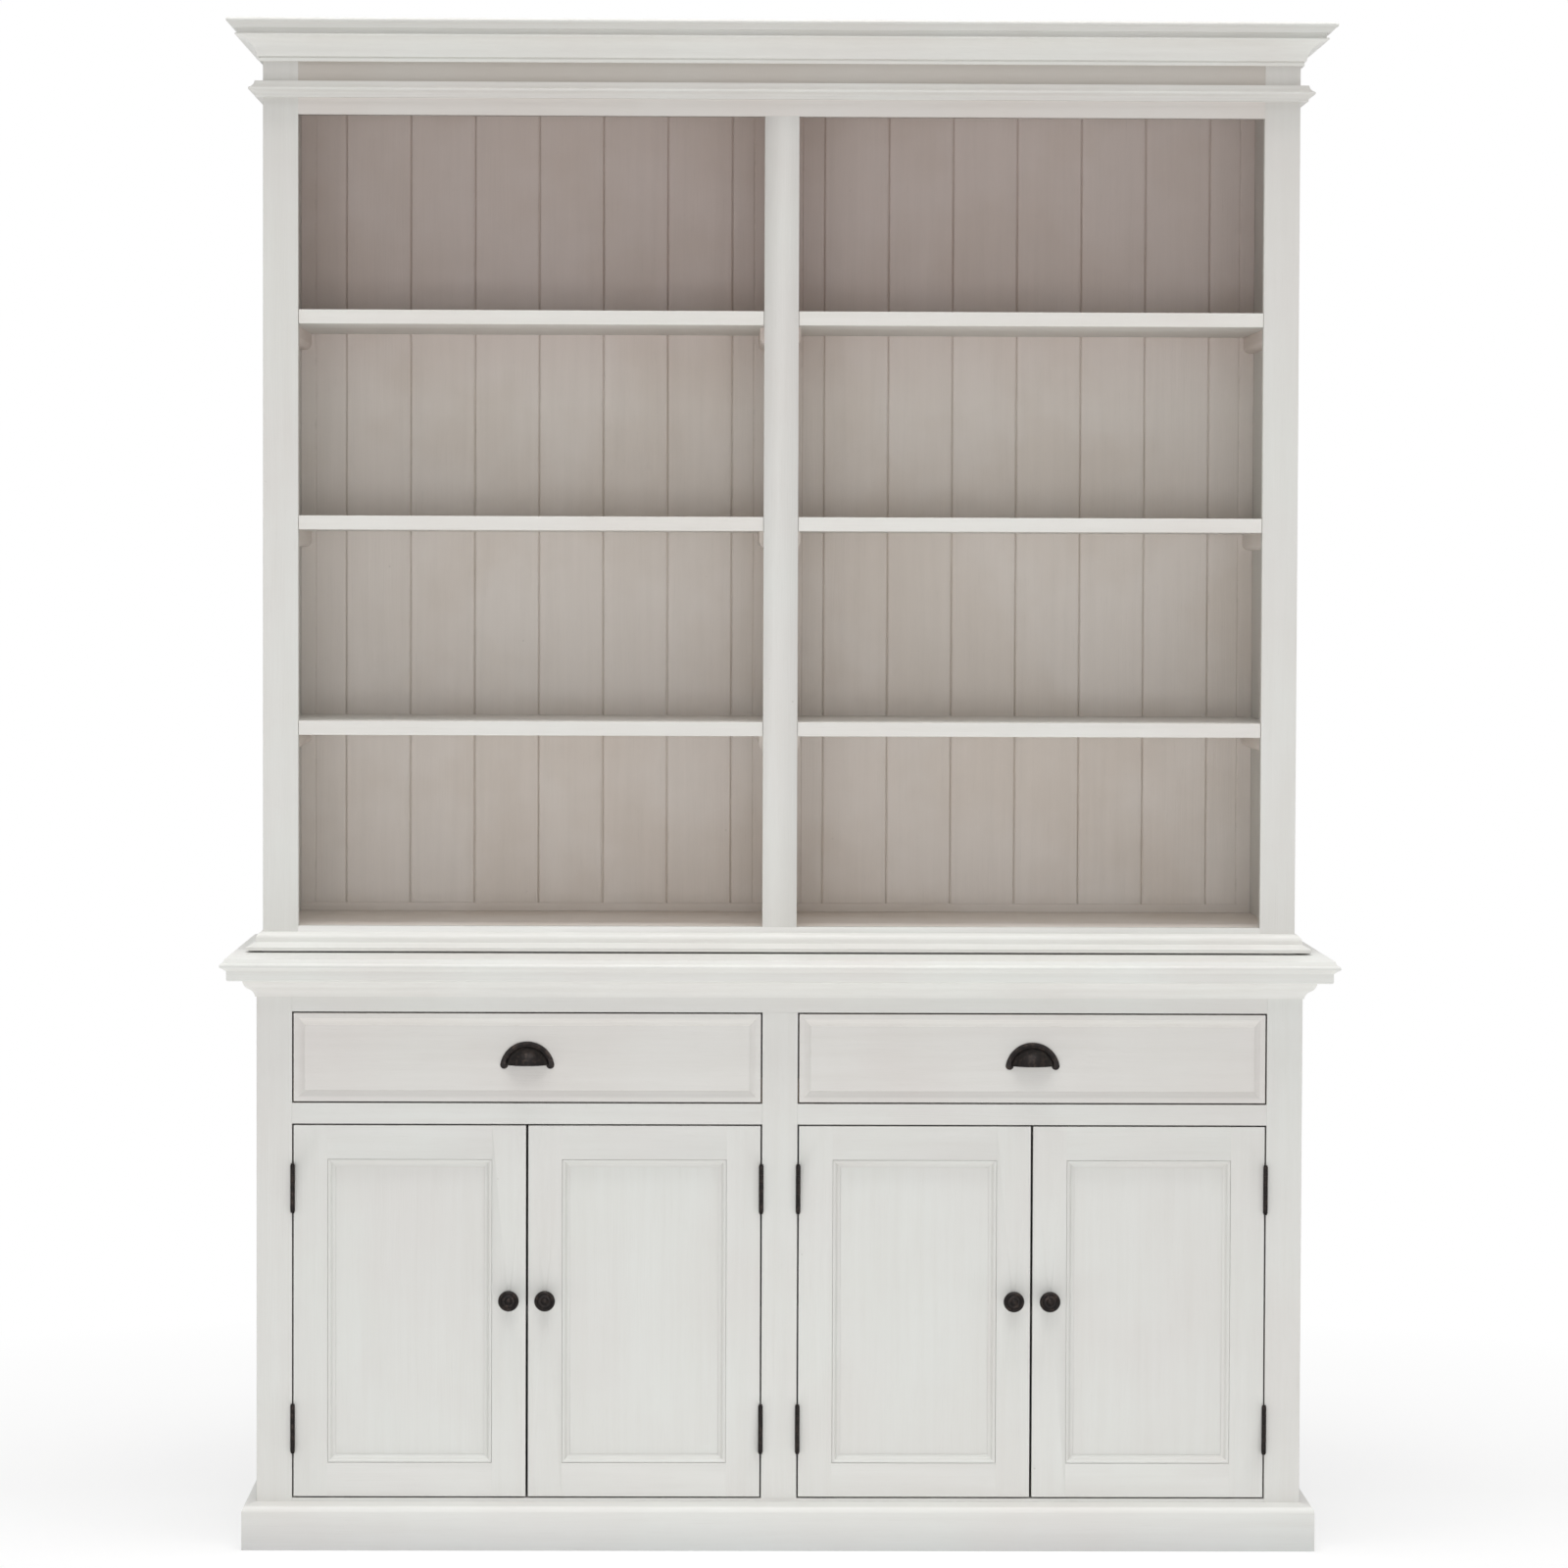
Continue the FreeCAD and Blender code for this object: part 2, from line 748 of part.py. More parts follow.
def make_counter():
    """The counter slab and the moulding under its edge."""
    edge = counter_edge()
    front = []
    for corner in edge:
        bend = (corner[2], -corner[3]) if len(corner) > 2 else ()
        front.append((f"base_front_y - ({corner[0]})", corner[1], *bend))
    section = [("rear_y", "carcass_top_z")] + front + [("rear_y", "counter_top_z")]
    reach = "half_width + counter_overhang + overrun"
    along = prism("counter_front_section", "YZ_Plane", section, f"-({reach})", reach)
    right = [(f"half_width + ({corner[0]})", *corner[1:]) for corner in edge]
    left = []
    for index in range(len(edge) - 1, -1, -1):
        corner = edge[index]
        following = edge[index + 1] if index + 1 < len(edge) else ()
        bend = following[2:] if len(following) > 2 else ()
        left.append((f"-(half_width + ({corner[0]}))", corner[1], *bend))
    ends = prism(
        "counter_end_section",
        "XZ_Plane",
        right + left,
        "base_front_y - counter_overhang - overrun",
        "rear_y",
    )
    slab = common("counter_slab", along, ends)
    slab = cut("counter_board", slab, dowel_rods("counter_hole", "dowel_clearance"))
    node("counter_top", [slab])
    head = "carcass_top_z"
    middle_z = f"{head} - bed_middle_drop"
    foot = f"{head} - bed_height"
    profile = [
        ("0", foot),
        ("bed_foot_reach", foot),
        ("bed_foot_reach", f"{foot} + bed_foot_lip"),
        ("bed_middle_reach", middle_z, "bed_curve_radius", -1),
        ("bed_reach", f"{head} - bed_lip", "bed_curve_radius", 1),
        ("bed_reach", head),
        ("0", head),
    ]
    node("counter_moulding", list(moulding("bed", profile, "bed_reach", "base_front_y")))


def dowel_rods(name, clearance="0"):
    """Rods at the four dowels, or the holes for them with a clearance all round."""
    rods = []
    low = f"counter_top_z - dowel_length / 2 - {clearance}"
    for place, y in (("front", "hutch_front_y + dowel_setback"), ("rear", "rear_y - dowel_setback")):
        right = rod(
            f"{name}_{place}",
            f"dowel_radius + {clearance}",
            ("half_width - side_thickness / 2", y, low),
            f"dowel_length + 2 * {clearance}",
        )
        rods += [right, mirrored(f"{name}_{place}_mirror", right)]
    return rods


def make_hutch_carcass():
    """End panels, partition, floor, top and face frame of the hutch."""
    deep = "hutch_back_y - (hutch_frame_back_y)"
    blank = board(
        "hutch_end_panel_blank",
        ("inner_x", "hutch_frame_back_y", "counter_top_z"),
        ("side_thickness", "rear_y - (hutch_frame_back_y)", "hutch_frame_top_z - (counter_top_z)"),
    )
    right = cut("hutch_end_panel", blank, dowel_rods("end_hole", "dowel_clearance"))
    node("hutch_side_right", [right])
    node("hutch_side_left", [mirrored("hutch_end_panel_mirror", right)])
    node(
        "hutch_partition",
        [
            board(
                "hutch_partition_board",
                ("-partition_x", "hutch_frame_back_y", "hutch_floor_z"),
                ("partition_thickness", deep, "hutch_frame_top_z - (hutch_floor_z)"),
            )
        ],
    )
    node(
        "hutch_bottom_board",
        [
            board(
                "hutch_floor",
                ("-(inner_x)", "hutch_frame_back_y", "hutch_floor_z - carcass_board_thickness"),
                ("2 * inner_x", deep, "carcass_board_thickness"),
            )
        ],
    )
    node(
        "hutch_top_board",
        [
            board(
                "hutch_top",
                ("-half_width", "hutch_front_y", "hutch_frame_top_z"),
                ("carcass_width", "hutch_depth", "carcass_board_thickness"),
            )
        ],
    )
    corner = board(
        "hutch_corner_stile",
        ("stile_x", "hutch_front_y", "counter_top_z"),
        ("stile_width", "frame_thickness", "hutch_frame_top_z - (counter_top_z)"),
    )
    centre = board(
        "hutch_centre_stile",
        ("-hutch_centre_x", "hutch_front_y", "hutch_floor_z"),
        ("hutch_centre_stile_width", "frame_thickness", "hutch_head_z - (hutch_floor_z)"),
    )
    node("hutch_stiles", [corner, centre, mirrored("hutch_corner_stile_mirror", corner)])
    node(
        "hutch_top_rail",
        [
            board(
                "hutch_frieze",
                ("-(stile_x)", "hutch_front_y", "hutch_head_z"),
                ("2 * stile_x", "frame_thickness", "hutch_top_rail_height"),
            )
        ],
    )
    node(
        "hutch_bottom_rail",
        [
            board(
                "hutch_foot_rail",
                ("-(stile_x)", "hutch_front_y", "counter_top_z"),
                ("2 * stile_x", "frame_thickness", "hutch_bottom_rail_height"),
            )
        ],
    )
    node("locating_dowels", dowel_rods("dowel"))


def back_board(name, low_x, high_x, joints, border=""):
    """
    A vertical back board with half a V joint on each jointed edge.

    joints says which edges are jointed, low and high. border is where a fine groove runs.
    """
    face = "hutch_back_y"
    joint_y = f"{face} + back_joint_depth"
    outline = [(low_x, "rear_y - back_inset")]
    if joints[0]:
        outline += [(low_x, joint_y), (f"{low_x} + back_joint_half_width", face)]
    else:
        outline += [(low_x, face)]
    if border:
        outline += [
            (f"{border} - back_border_groove", face),
            (border, f"{face} + back_border_groove"),
            (f"{border} + back_border_groove", face),
        ]
    if joints[1]:
        outline += [(f"{high_x} - back_joint_half_width", face), (high_x, joint_y)]
    else:
        outline += [(high_x, face)]
    outline += [(high_x, "rear_y - back_inset")]
    return prism(name, "XY_Plane", outline, "counter_top_z", "hutch_frame_top_z")


def make_hutch_back():
    """Jointed boards behind both bays, and the batten at their foot."""
    first = "back_centre_board_width"
    last = f"{first} + {JOINTED_BOARDS} * back_board_pitch"
    boards = [
        back_board(
            "back_board_centre", "0", first, (False, True), "partition_x + back_border_width"
        )
    ]
    for index in range(JOINTED_BOARDS):
        low_x = f"{first} + {index} * back_board_pitch"
        high_x = f"{first} + {index + 1} * back_board_pitch"
        boards.append(back_board(f"back_board_{index + 1}", low_x, high_x, (True, True)))
    boards.append(
        back_board("back_board_end", last, "inner_x", (True, False), "inner_x - back_border_width")
    )
    node("hutch_back_boards_right", boards)
    mirrors = [mirrored(f"{item.Name}_mirror", item) for item in boards]
    node("hutch_back_boards_left", mirrors)
    batten = board(
        "back_batten",
        ("partition_x", "hutch_back_y - back_batten_thickness", "hutch_floor_z"),
        ("inner_x - partition_x", "back_batten_thickness", "back_batten_height"),
    )
    node("hutch_back_battens", [batten, mirrored("back_batten_mirror", batten)])


def make_hutch_shelves():
    """Three shelves per bay, notched round the stiles, each on two cleats."""
    front = "hutch_front_y + shelf_setback"
    notch_y = "hutch_frame_back_y + shelf_clearance"
    low_x = "partition_x + shelf_clearance"
    high_x = "inner_x - shelf_clearance"
    first = "hutch_floor_z + bay_clear_height"
    plan = [
        (low_x, "hutch_back_y"),
        (low_x, notch_y),
        ("hutch_centre_x + shelf_clearance", notch_y),
        ("hutch_centre_x + shelf_clearance", front),
        ("stile_x - shelf_clearance", front),
        ("stile_x - shelf_clearance", notch_y),
        (high_x, notch_y),
        (high_x, "hutch_back_y"),
    ]
    shelf = prism("shelf_board", "XY_Plane", plan, first, f"{first} + shelf_thickness")
    low_z = f"{first} - cleat_height"
    arris = "cleat_arris_radius"
    outer_face = "inner_x - cleat_thickness"
    inner_face = "partition_x + cleat_thickness"
    outer = [
        ("inner_x", first),
        (outer_face, first),
        (outer_face, f"{low_z} + {arris}"),
        (f"{outer_face} + {arris}", low_z, arris, 1),
        ("inner_x", low_z),
    ]
    inner = [
        ("partition_x", first),
        ("partition_x", low_z),
        (f"{inner_face} - {arris}", low_z),
        (inner_face, f"{low_z} + {arris}", arris, 1),
        (inner_face, first),
    ]
    start = "hutch_frame_back_y + cleat_setback"
    cleats = [
        prism("cleat_outer", "XZ_Plane", outer, start, "hutch_back_y"),
        prism("cleat_inner", "XZ_Plane", inner, start, "hutch_back_y"),
    ]
    shelves = []
    rests = []
    for level in range(3):
        shift = ("0", "0", f"{level} * shelf_pitch")
        shelves.append(moved(f"shelf_{level + 1}", [shelf], shift))
        rests.append(moved(f"cleats_{level + 1}", cleats, shift))
    node("hutch_shelves_right", shelves)
    node("hutch_shelves_left", [mirrored(f"{item.Name}_mirror", item) for item in shelves])
    rests += [mirrored(f"{item.Name}_mirror", item) for item in rests]
    node("hutch_shelf_cleats", rests)


def make_cornice():
    """Cornice round the top of the hutch."""
    top = "hutch_top_z"
    nose = "cornice_nose_radius"
    band = "cornice_band_radius"
    nose_x = f"cornice_reach - {nose}"
    slope_x = f"{nose_x} - cornice_slope_run"
    slope_z = f"{top} - 2 * {nose} - cornice_slope_drop"
    quirk_x = f"{slope_x} - cornice_quirk_depth"
    band_top = f"{slope_z} - cornice_quirk_height"
    band_x = f"cornice_band_reach - {band}"
    cove_top = f"{band_top} - 2 * {band}"
    cove_foot = f"{cove_top} - cornice_cove_height"
    bead_top = f"{cove_foot} - cornice_foot_quirk_height"
    foot = f"{bead_top} - cornice_bead_height"
    profile = [
        ("0", foot),
        ("cornice_bead_reach", foot),
        ("cornice_bead_reach", bead_top),
        ("cornice_foot_quirk_reach", bead_top),
        ("cornice_foot_quirk_reach", cove_foot),
        ("cornice_cove_foot_reach", cove_foot),
        ("cornice_cove_reach", cove_top, "cornice_cove_radius", -1),
        (band_x, cove_top),
        ("cornice_band_reach", f"{cove_top} + {band}", band, 1),
        (band_x, band_top, band, 1),
        (quirk_x, band_top),
        (quirk_x, slope_z),
        (slope_x, slope_z),
        (nose_x, f"{top} - 2 * {nose}"),
        ("cornice_reach", f"{top} - {nose}", nose, 1),
        (nose_x, top, nose, 1),
        ("0", top),
    ]
    node("cornice", list(moulding("cornice", profile, "cornice_reach", "hutch_front_y")))


def make_astragal():
    """Nosed moulding between frieze and opening."""
    foot = "hutch_top_z - astragal_top_drop - astragal_height"
    top = f"{foot} + astragal_height"
    nose = "astragal_nose_radius"
    nose_x = f"astragal_reach - {nose}"
    nose_top = f"{top} - astragal_nose_drop"
    curve = "astragal_curve_radius"
    profile = [
        ("0", foot),
        ("astragal_foot_reach", foot),
        ("astragal_foot_reach", f"{foot} + astragal_foot_lip"),
        (nose_x, f"{nose_top} - 2 * {nose}", curve, -1),
        ("astragal_reach", f"{nose_top} - {nose}", nose, 1),
        (nose_x, nose_top, nose, 1),
        ("astragal_top_reach", top, curve, -1),
        ("0", top),
    ]
    node("astragal", list(moulding("astragal", profile, "astragal_reach", "hutch_front_y")))


def make_foot_moulding():
    """Sloped and rounded moulding round the foot of the hutch, a little above the counter."""
    foot = "counter_top_z + foot_moulding_gap"
    lip = f"{foot} + foot_moulding_lip"
    top = f"{foot} + foot_moulding_height"
    profile = [
        ("0", foot),
        ("foot_moulding_reach", foot),
        ("foot_moulding_reach", lip),
        ("foot_moulding_step_reach", f"{lip} + foot_moulding_slope_rise"),
        ("foot_moulding_step_reach", f"{top} - foot_moulding_round_drop"),
        ("0", top, "foot_moulding_round_radius", 1),
    ]
    parts = moulding("foot_moulding", profile, "foot_moulding_reach", "hutch_front_y")
    node("hutch_foot_moulding", list(parts))


def make_hinge_shapes():
    """One door leaf, one frame leaf and one pin about an axis at the origin, centred on Z = 0."""
    pitch = f"hinge_height / {KNUCKLES}"
    hub = "hinge_knuckle_radius"
    hole = "hinge_pin_radius + hinge_pin_clearance"
    plate_y = f"{hub} + hinge_relief"
    plate_end = "hinge_stand_off + hinge_leaf_width"
    leaves = []
    for name, low_x, knuckles in (
        ("door_leaf", "door_edge_x", range(1, KNUCKLES, 2)),
        ("frame_leaf", "-(door_edge_x + hinge_leaf_thickness)", range(0, KNUCKLES, 2)),
    ):
        pieces = [
            board(
                f"{name}_plate",
                (low_x, plate_y, "-hinge_height / 2"),
                ("hinge_leaf_thickness", f"{plate_end} - ({plate_y})", "hinge_height"),
            )
        ]
        for index in knuckles:
            low = f"{index} * {pitch} - hinge_height / 2 + hinge_joint_clearance / 2"
            tall = f"{pitch} - hinge_joint_clearance"
            pieces.append(rod(f"{name}_knuckle_{index}", hub, ("0", "0", low), tall))
            pieces.append(
                board(
                    f"{name}_tab_{index}",
                    (low_x, "0", low),
                    ("hinge_leaf_thickness", plate_y, tall),
                )
            )
        joined = DOCUMENT.addObject("Part::MultiFuse", f"{name}_blank")
        joined.Shapes = pieces
        bore = rod(f"{name}_bore", hole, ("0", "0", "-hinge_height"), "2 * hinge_height")
        leaves.append(cut(name, joined, [bore]))
    pin = rod("pin_shank", "hinge_pin_radius", ("0", "0", "-hinge_height / 2"), "hinge_height")
    tips = []
    for name, low in (
        ("low", "-hinge_height / 2 - hinge_tip_height"),
        ("high", "hinge_height / 2"),
    ):
        tips.append(rod(f"pin_tip_{name}", "hinge_tip_radius", ("0", "0", low), "hinge_tip_height"))
    joined = DOCUMENT.addObject("Part::MultiFuse", "hinge_pin")
    joined.Shapes = [pin] + tips
    return leaves[0], leaves[1], joined


def hinged(name, shape, axis_x):
    """A hinge shape at both hinges of the door whose axis stands at axis_x."""
    shape_at = [
        moved(f"{name}_{level}", [shape], (axis_x, "hinge_axis_y", f"hinge_{level}_z"))
        for level in ("top", "bottom")
    ]
    return shape_at


def make_hinge_sides():
    """Frame leaves and pins of all eight hinges, fixed to the face frame."""
    door_leaf, frame_leaf, pin = make_hinge_shapes()
    fixed = []
    for label, shape in (("hinge_frame_leaves", frame_leaf), ("hinge_pins", pin)):
        left = hinged(f"{label}_outer", shape, "-(outer_axis_x)")
        inner = hinged(f"{label}_inner", shape, "inner_axis_x")
        fixed = left + inner
        fixed += [mirrored(f"{item.Name}_mirror", item) for item in fixed]
        node(label, fixed)
    return door_leaf


def door_stile(name, low_x, high_x, groove_side, tools):
    """A door stile with a groove for the panel on the edge given by groove_side."""
    edge = high_x if groove_side > 0 else low_x
    deep = f"{edge} - door_groove_depth" if groove_side > 0 else f"{edge} + door_groove_depth"
    far = low_x if groove_side > 0 else high_x
    outline = [
        (far, "base_front_y"),
        (edge, "base_front_y"),
        (edge, "panel_front_y"),
        (deep, "panel_front_y"),
        (deep, "panel_back_y"),
        (edge, "panel_back_y"),
        (edge, "door_back_y"),
        (far, "door_back_y"),
    ]
    blank = prism(f"{name}_blank", "XY_Plane", outline, "door_low_z", "door_high_z")
    return cut(name, blank, tools)


def door_rail(name, far_z, edge_z, inward, low_x, high_x):
    """A door rail between the stiles, grooved on the edge at edge_z."""
    deep = f"{edge_z} {inward} door_groove_depth"
    outline = [
        ("base_front_y", far_z),
        ("base_front_y", edge_z),
        ("panel_front_y", edge_z),
        ("panel_front_y", deep),
        ("panel_back_y", deep),
        ("panel_back_y", edge_z),
        ("door_back_y", edge_z),
        ("door_back_y", far_z),
    ]
    return prism(name, "YZ_Plane", outline, low_x, high_x)


def bead_profile(edge, sign):
    """The bead's section as (run from the frame, depth) corners, mapped from its edge."""
    lip_y = "base_front_y + bead_set_back"
    middle_y = f"{lip_y} + bead_middle_drop"
    foot_y = "panel_front_y - bead_foot_lip"
    steps = [
        ("0", "panel_front_y"),
        ("0", lip_y),
        ("bead_lip", lip_y),
        ("bead_middle_run", middle_y, "bead_curve_radius", 1),
        ("bead_width - bead_foot_run", foot_y, "bead_curve_radius", -1),
        ("bead_width", foot_y),
        ("bead_width", "panel_front_y"),
    ]
    return [(f"{edge} {sign} ({step[0]})", *step[1:]) for step in steps]


def make_beads(low_x, high_x, low_z, high_z):
    """Four mitred bead strips round the door panel."""
    strips = []
    over = "overrun"
    wide = "bead_width"
    for name, edge, sign in (("left", low_x, "+"), ("right", high_x, "-")):
        turn = 1 if sign == "+" else -1
        outline = [
            (*corner[:2], *((corner[2], corner[3] * turn) if len(corner) > 2 else ()))
            for corner in bead_profile(edge, sign)
        ]
        strip = prism(f"bead_{name}", "XY_Plane", outline, low_z, high_z)
        saws = []
        back = "-" if sign == "+" else "+"
        for end, inward, outward in ((low_z, "+", "-"), (high_z, "-", "+")):
            saws.append(
                [
                    (f"{edge} {back} {over}", f"{end} {outward} {over}"),
                    (f"{edge} {sign} ({wide} + {over})", f"{end} {inward} ({wide} + {over})"),
                    (f"{edge} {sign} ({wide} + {over})", f"{end} {outward} {over}"),
                ]
            )
        strips.append(mitred(strip, "XZ_Plane", saws, "-(panel_front_y)"))
    for name, edge, sign in (("low", low_z, "+"), ("high", high_z, "-")):
        turn = -1 if sign == "+" else 1
        outline = [
            (corner[1], corner[0], *((corner[2], corner[3] * turn) if len(corner) > 2 else ()))
            for corner in bead_profile(edge, sign)
        ]
        strip = prism(f"bead_{name}", "YZ_Plane", outline, low_x, high_x)
        saws = []
        back = "-" if sign == "+" else "+"
        for end, inward, outward in ((low_x, "+", "-"), (high_x, "-", "+")):
            saws.append(
                [
                    (f"{end} {outward} {over}", f"{edge} {back} {over}"),
                    (f"{end} {inward} ({wide} + {over})", f"{edge} {sign} ({wide} + {over})"),
                    (f"{end} {outward} {over}", f"{edge} {sign} ({wide} + {over})"),
                ]
            )
        strips.append(mitred(strip, "XZ_Plane", saws, "-(panel_front_y)"))
    return strips


def make_knob():
    """A turned knob with a ringed face, and the screw that holds it from behind."""
    bore = "knob_screw_radius + knob_screw_clearance"
    groove = "knob_groove"
    face = "-knob_face_depth"
    ring_in = f"knob_face_radius - 2 * {groove}"
    boss = f"(knob_boss_radius - {groove})"
    rise = "(knob_projection - knob_face_depth)"
    dome = f"({boss} ^ 2 + {rise} ^ 2) / (2 * {rise})"
    outline = [
        (bore, "0"),
        ("knob_rose_radius", "0"),
        ("knob_rose_radius", "-knob_rose_thickness"),
        ("knob_neck_radius", "-2 * knob_rose_thickness"),
        ("knob_neck_radius", "-knob_neck_end"),
        ("knob_back_radius", "-knob_back", "knob_back_radius", 1),
        ("knob_radius", f"-knob_back - 2 * {groove}"),
        ("knob_radius", "-knob_rim_end"),
        ("knob_face_radius", face, "knob_edge_radius", -1),
        (f"knob_face_radius - {groove}", f"{face} + {groove}"),
        (ring_in, face),
        ("knob_boss_radius", f"{face} - {groove}", "4 * knob_radius", -1),
        (boss, face),
        ("0", "-knob_projection", dome, -1),
        ("0", "-knob_screw_reach"),
        (bore, "-knob_screw_reach"),
    ]
    knob = turned("knob_body", outline, ("knob_x", "base_front_y", "knob_height"))
    shank = rod(
        "knob_screw_shank",
        "knob_screw_radius",
        ("knob_x", "base_front_y - knob_screw_reach", "knob_height"),
        "knob_screw_reach + door_thickness",
        "y",
    )
    head = rod(
        "knob_screw_head",
        "knob_screw_head_radius",
        ("knob_x", "door_back_y", "knob_height"),
        "knob_screw_head_thickness",
        "y",
    )
    screw = DOCUMENT.addObject("Part::MultiFuse", "knob_screw")
    screw.Shapes = [shank, head]
    return [knob, screw]


def make_doors(door_leaf):
    """Four doors from one: an outer door, an inner door and their mirror images."""
    recess = "hinge_leaf_thickness + hinge_mortise_clearance"
    tools = [
        board(
            f"door_mortise_{level}",
            (
                "door_edge_x - overrun",
                "base_front_y - overrun",
                f"hinge_{level}_z - hinge_height / 2 - hinge_mortise_clearance",
            ),
            (
                f"overrun + {recess}",
                "overrun + hinge_leaf_width + hinge_mortise_clearance",
                "hinge_height + 2 * hinge_mortise_clearance",
            ),
        )
        for level in ("top", "bottom")
    ]
    hole = rod(
        "knob_hole",
        "knob_screw_radius + knob_screw_clearance",
        ("knob_x", "base_front_y - overrun", "knob_height"),
        "door_thickness + 2 * overrun",
        "y",
    )
    panel_low_x = "door_edge_x + door_stile_width"
    panel_high_x = "door_meeting_x - door_stile_width"
    panel_low_z = "door_low_z + door_rail_width"
    panel_high_z = "door_high_z - door_rail_width"
    frame = [
        door_stile("door_hinge_stile", "door_edge_x", panel_low_x, 1, tools),
        door_stile("door_meeting_stile", panel_high_x, "door_meeting_x", -1, [hole]),
        door_rail("door_low_rail", "door_low_z", panel_low_z, "-", panel_low_x, panel_high_x),
        door_rail("door_high_rail", "door_high_z", panel_high_z, "+", panel_low_x, panel_high_x),
    ]
    frame += make_beads(panel_low_x, panel_high_x, panel_low_z, panel_high_z)
    tongue = "door_groove_depth - door_panel_fit"
    panel = board(
        "door_panel_board",
        (
            f"{panel_low_x} - ({tongue})",
            "panel_front_y + door_groove_clearance",
            f"{panel_low_z} - ({tongue})",
        ),
        (
            f"{panel_high_x} - ({panel_low_x}) + 2 * ({tongue})",
            "door_panel_thickness - 2 * door_groove_clearance",
            f"{panel_high_z} - ({panel_low_z}) + 2 * ({tongue})",
        ),
    )
    leaves = hinged("door_leaf_pair", door_leaf, "0")
    sets = {"frame": frame, "panel": [panel], "knob": make_knob(), "hinge_leaves": leaves}
    for number, axis_x, mirror_number in ((1, "-(outer_axis_x)", 4), (3, "inner_axis_x", 2)):
        for part, shapes in sets.items():
            here = moved(f"door_{number}_{part}_set", shapes, (axis_x, "0", "0"))
            node(f"door_{number}_{part}", [here])
            node(
                f"door_{mirror_number}_{part}",
                [mirrored(f"door_{mirror_number}_{part}_set", here)],
            )


def make_drawer_front(holes):
    """A drawer front with a raised field, coved all round: sections along and across, shared."""
    lip = "base_front_y"
    run = "drawer_lip + drawer_cove_width"
    cove = "(drawer_cove_width ^ 2 + drawer_field_rise ^ 2) / (2 * drawer_field_rise)"

    def section(low, high, turn):
        return [
            ("drawer_front_back_y", low),
            (lip, low),
            (lip, f"{low} + drawer_lip"),
            ("field_y", f"{low} + {run}", cove, turn),
            ("field_y", f"{high} - ({run})"),
            (lip, f"{high} - drawer_lip", cove, turn),
            (lip, high),
            ("drawer_front_back_y", high),
        ]

    half = "drawer_half_width"
    tall = prism(
        "drawer_front_tall",
        "YZ_Plane",
        section("drawer_low_z", "drawer_high_z", 1),
        f"-({half})",
        half,
    )
    wide = prism(
        "drawer_front_wide",
        "XY_Plane",
        [(along, out, *curve) for out, along, *curve in section(f"-({half})", half, -1)],
        "drawer_low_z",
        "drawer_high_z",
    )
    return cut("drawer_front_board", common("drawer_front_blank", tall, wide), holes)


def make_pull():
    """A hollow cup pull with a flange and two ears, its screws, and the holes for them."""
    flange = "-pull_flange_thickness"
    dome = "pull_dome_radius"
    depth = "pull_dome_depth"
    rise = f"({depth} - pull_flange_thickness)"
    sphere = f"({dome} ^ 2 + {rise} ^ 2) / (2 * {rise})"
    cavity = f"({dome} - pull_wall)"
    cavity_depth = f"({depth} - pull_wall)"
    cavity_sphere = f"({cavity} ^ 2 + {cavity_depth} ^ 2) / (2 * {cavity_depth})"
    outline = [
        ("pull_flange_radius", "0"),
        ("pull_flange_radius", flange),
        (dome, flange),
        ("0", f"-{depth}", sphere, -1),
        ("0", f"-{cavity_depth}"),
        (cavity, "0", cavity_sphere, 1),
    ]
    place = ("0", "field_y", "pull_z")
    bowl = turned("pull_bowl", outline, place)
    reach = "pull_flange_radius + overrun"
    below = board(
        "pull_below_mouth",
        (f"-({reach})", f"field_y - ({reach})", f"pull_mouth_z - 2 * ({reach})"),
        (f"2 * ({reach})", f"2 * ({reach})", f"2 * ({reach})"),
    )
    half_bowl = cut("pull_half_bowl", bowl, [below])
    ear_x = "sqrt(pull_flange_radius ^ 2 - pull_mouth_rise ^ 2) - pull_ear_radius"
    ears = [
        rod(
            f"pull_ear_{name}",
            "pull_ear_radius",
            (f"{sign}({ear_x})", "field_y - pull_flange_thickness", "pull_mouth_z"),
            "pull_flange_thickness",
            "y",
        )
        for name, sign in (("left", "-"), ("right", ""))
    ]
    cup = DOCUMENT.addObject("Part::MultiFuse", "pull_cup")
    cup.Shapes = [half_bowl] + ears
    screw_x = "sqrt(pull_screw_ring_radius ^ 2 - pull_screw_height ^ 2)"
    screw_z = "pull_z + pull_screw_height"
    screws = []
    flange_holes = []
    front_holes = []
    for name, sign in (("left", "-"), ("right", "")):
        x = f"{sign}{screw_x}"
        loose = "pull_screw_radius + pull_screw_clearance"
        deep = "pull_screw_length - pull_flange_thickness + pull_screw_clearance"
        face = "field_y - pull_flange_thickness"
        shank = rod(
            f"pull_shank_{name}",
            "pull_screw_radius",
            (x, face, screw_z),
            "pull_screw_length",
            "y",
        )
        head = rod(
            f"pull_head_{name}",
            "pull_screw_head_radius",
            (x, f"{face} - pull_screw_head_thickness", screw_z),
            "pull_screw_head_thickness",
            "y",
        )
        screw = DOCUMENT.addObject("Part::MultiFuse", f"pull_screw_{name}")
        screw.Shapes = [shank, head]
        screws.append(screw)
        flange_holes.append(
            rod(
                f"flange_hole_{name}",
                loose,
                (x, f"{face} - overrun", screw_z),
                "pull_flange_thickness + 2 * overrun",
                "y",
            )
        )
        front_holes.append(
            rod(
                f"front_hole_{name}",
                loose,
                (x, "field_y - overrun", screw_z),
                f"overrun + {deep}",
                "y",
            )
        )
    return [cut("pull_body", cup, flange_holes)] + screws, front_holes


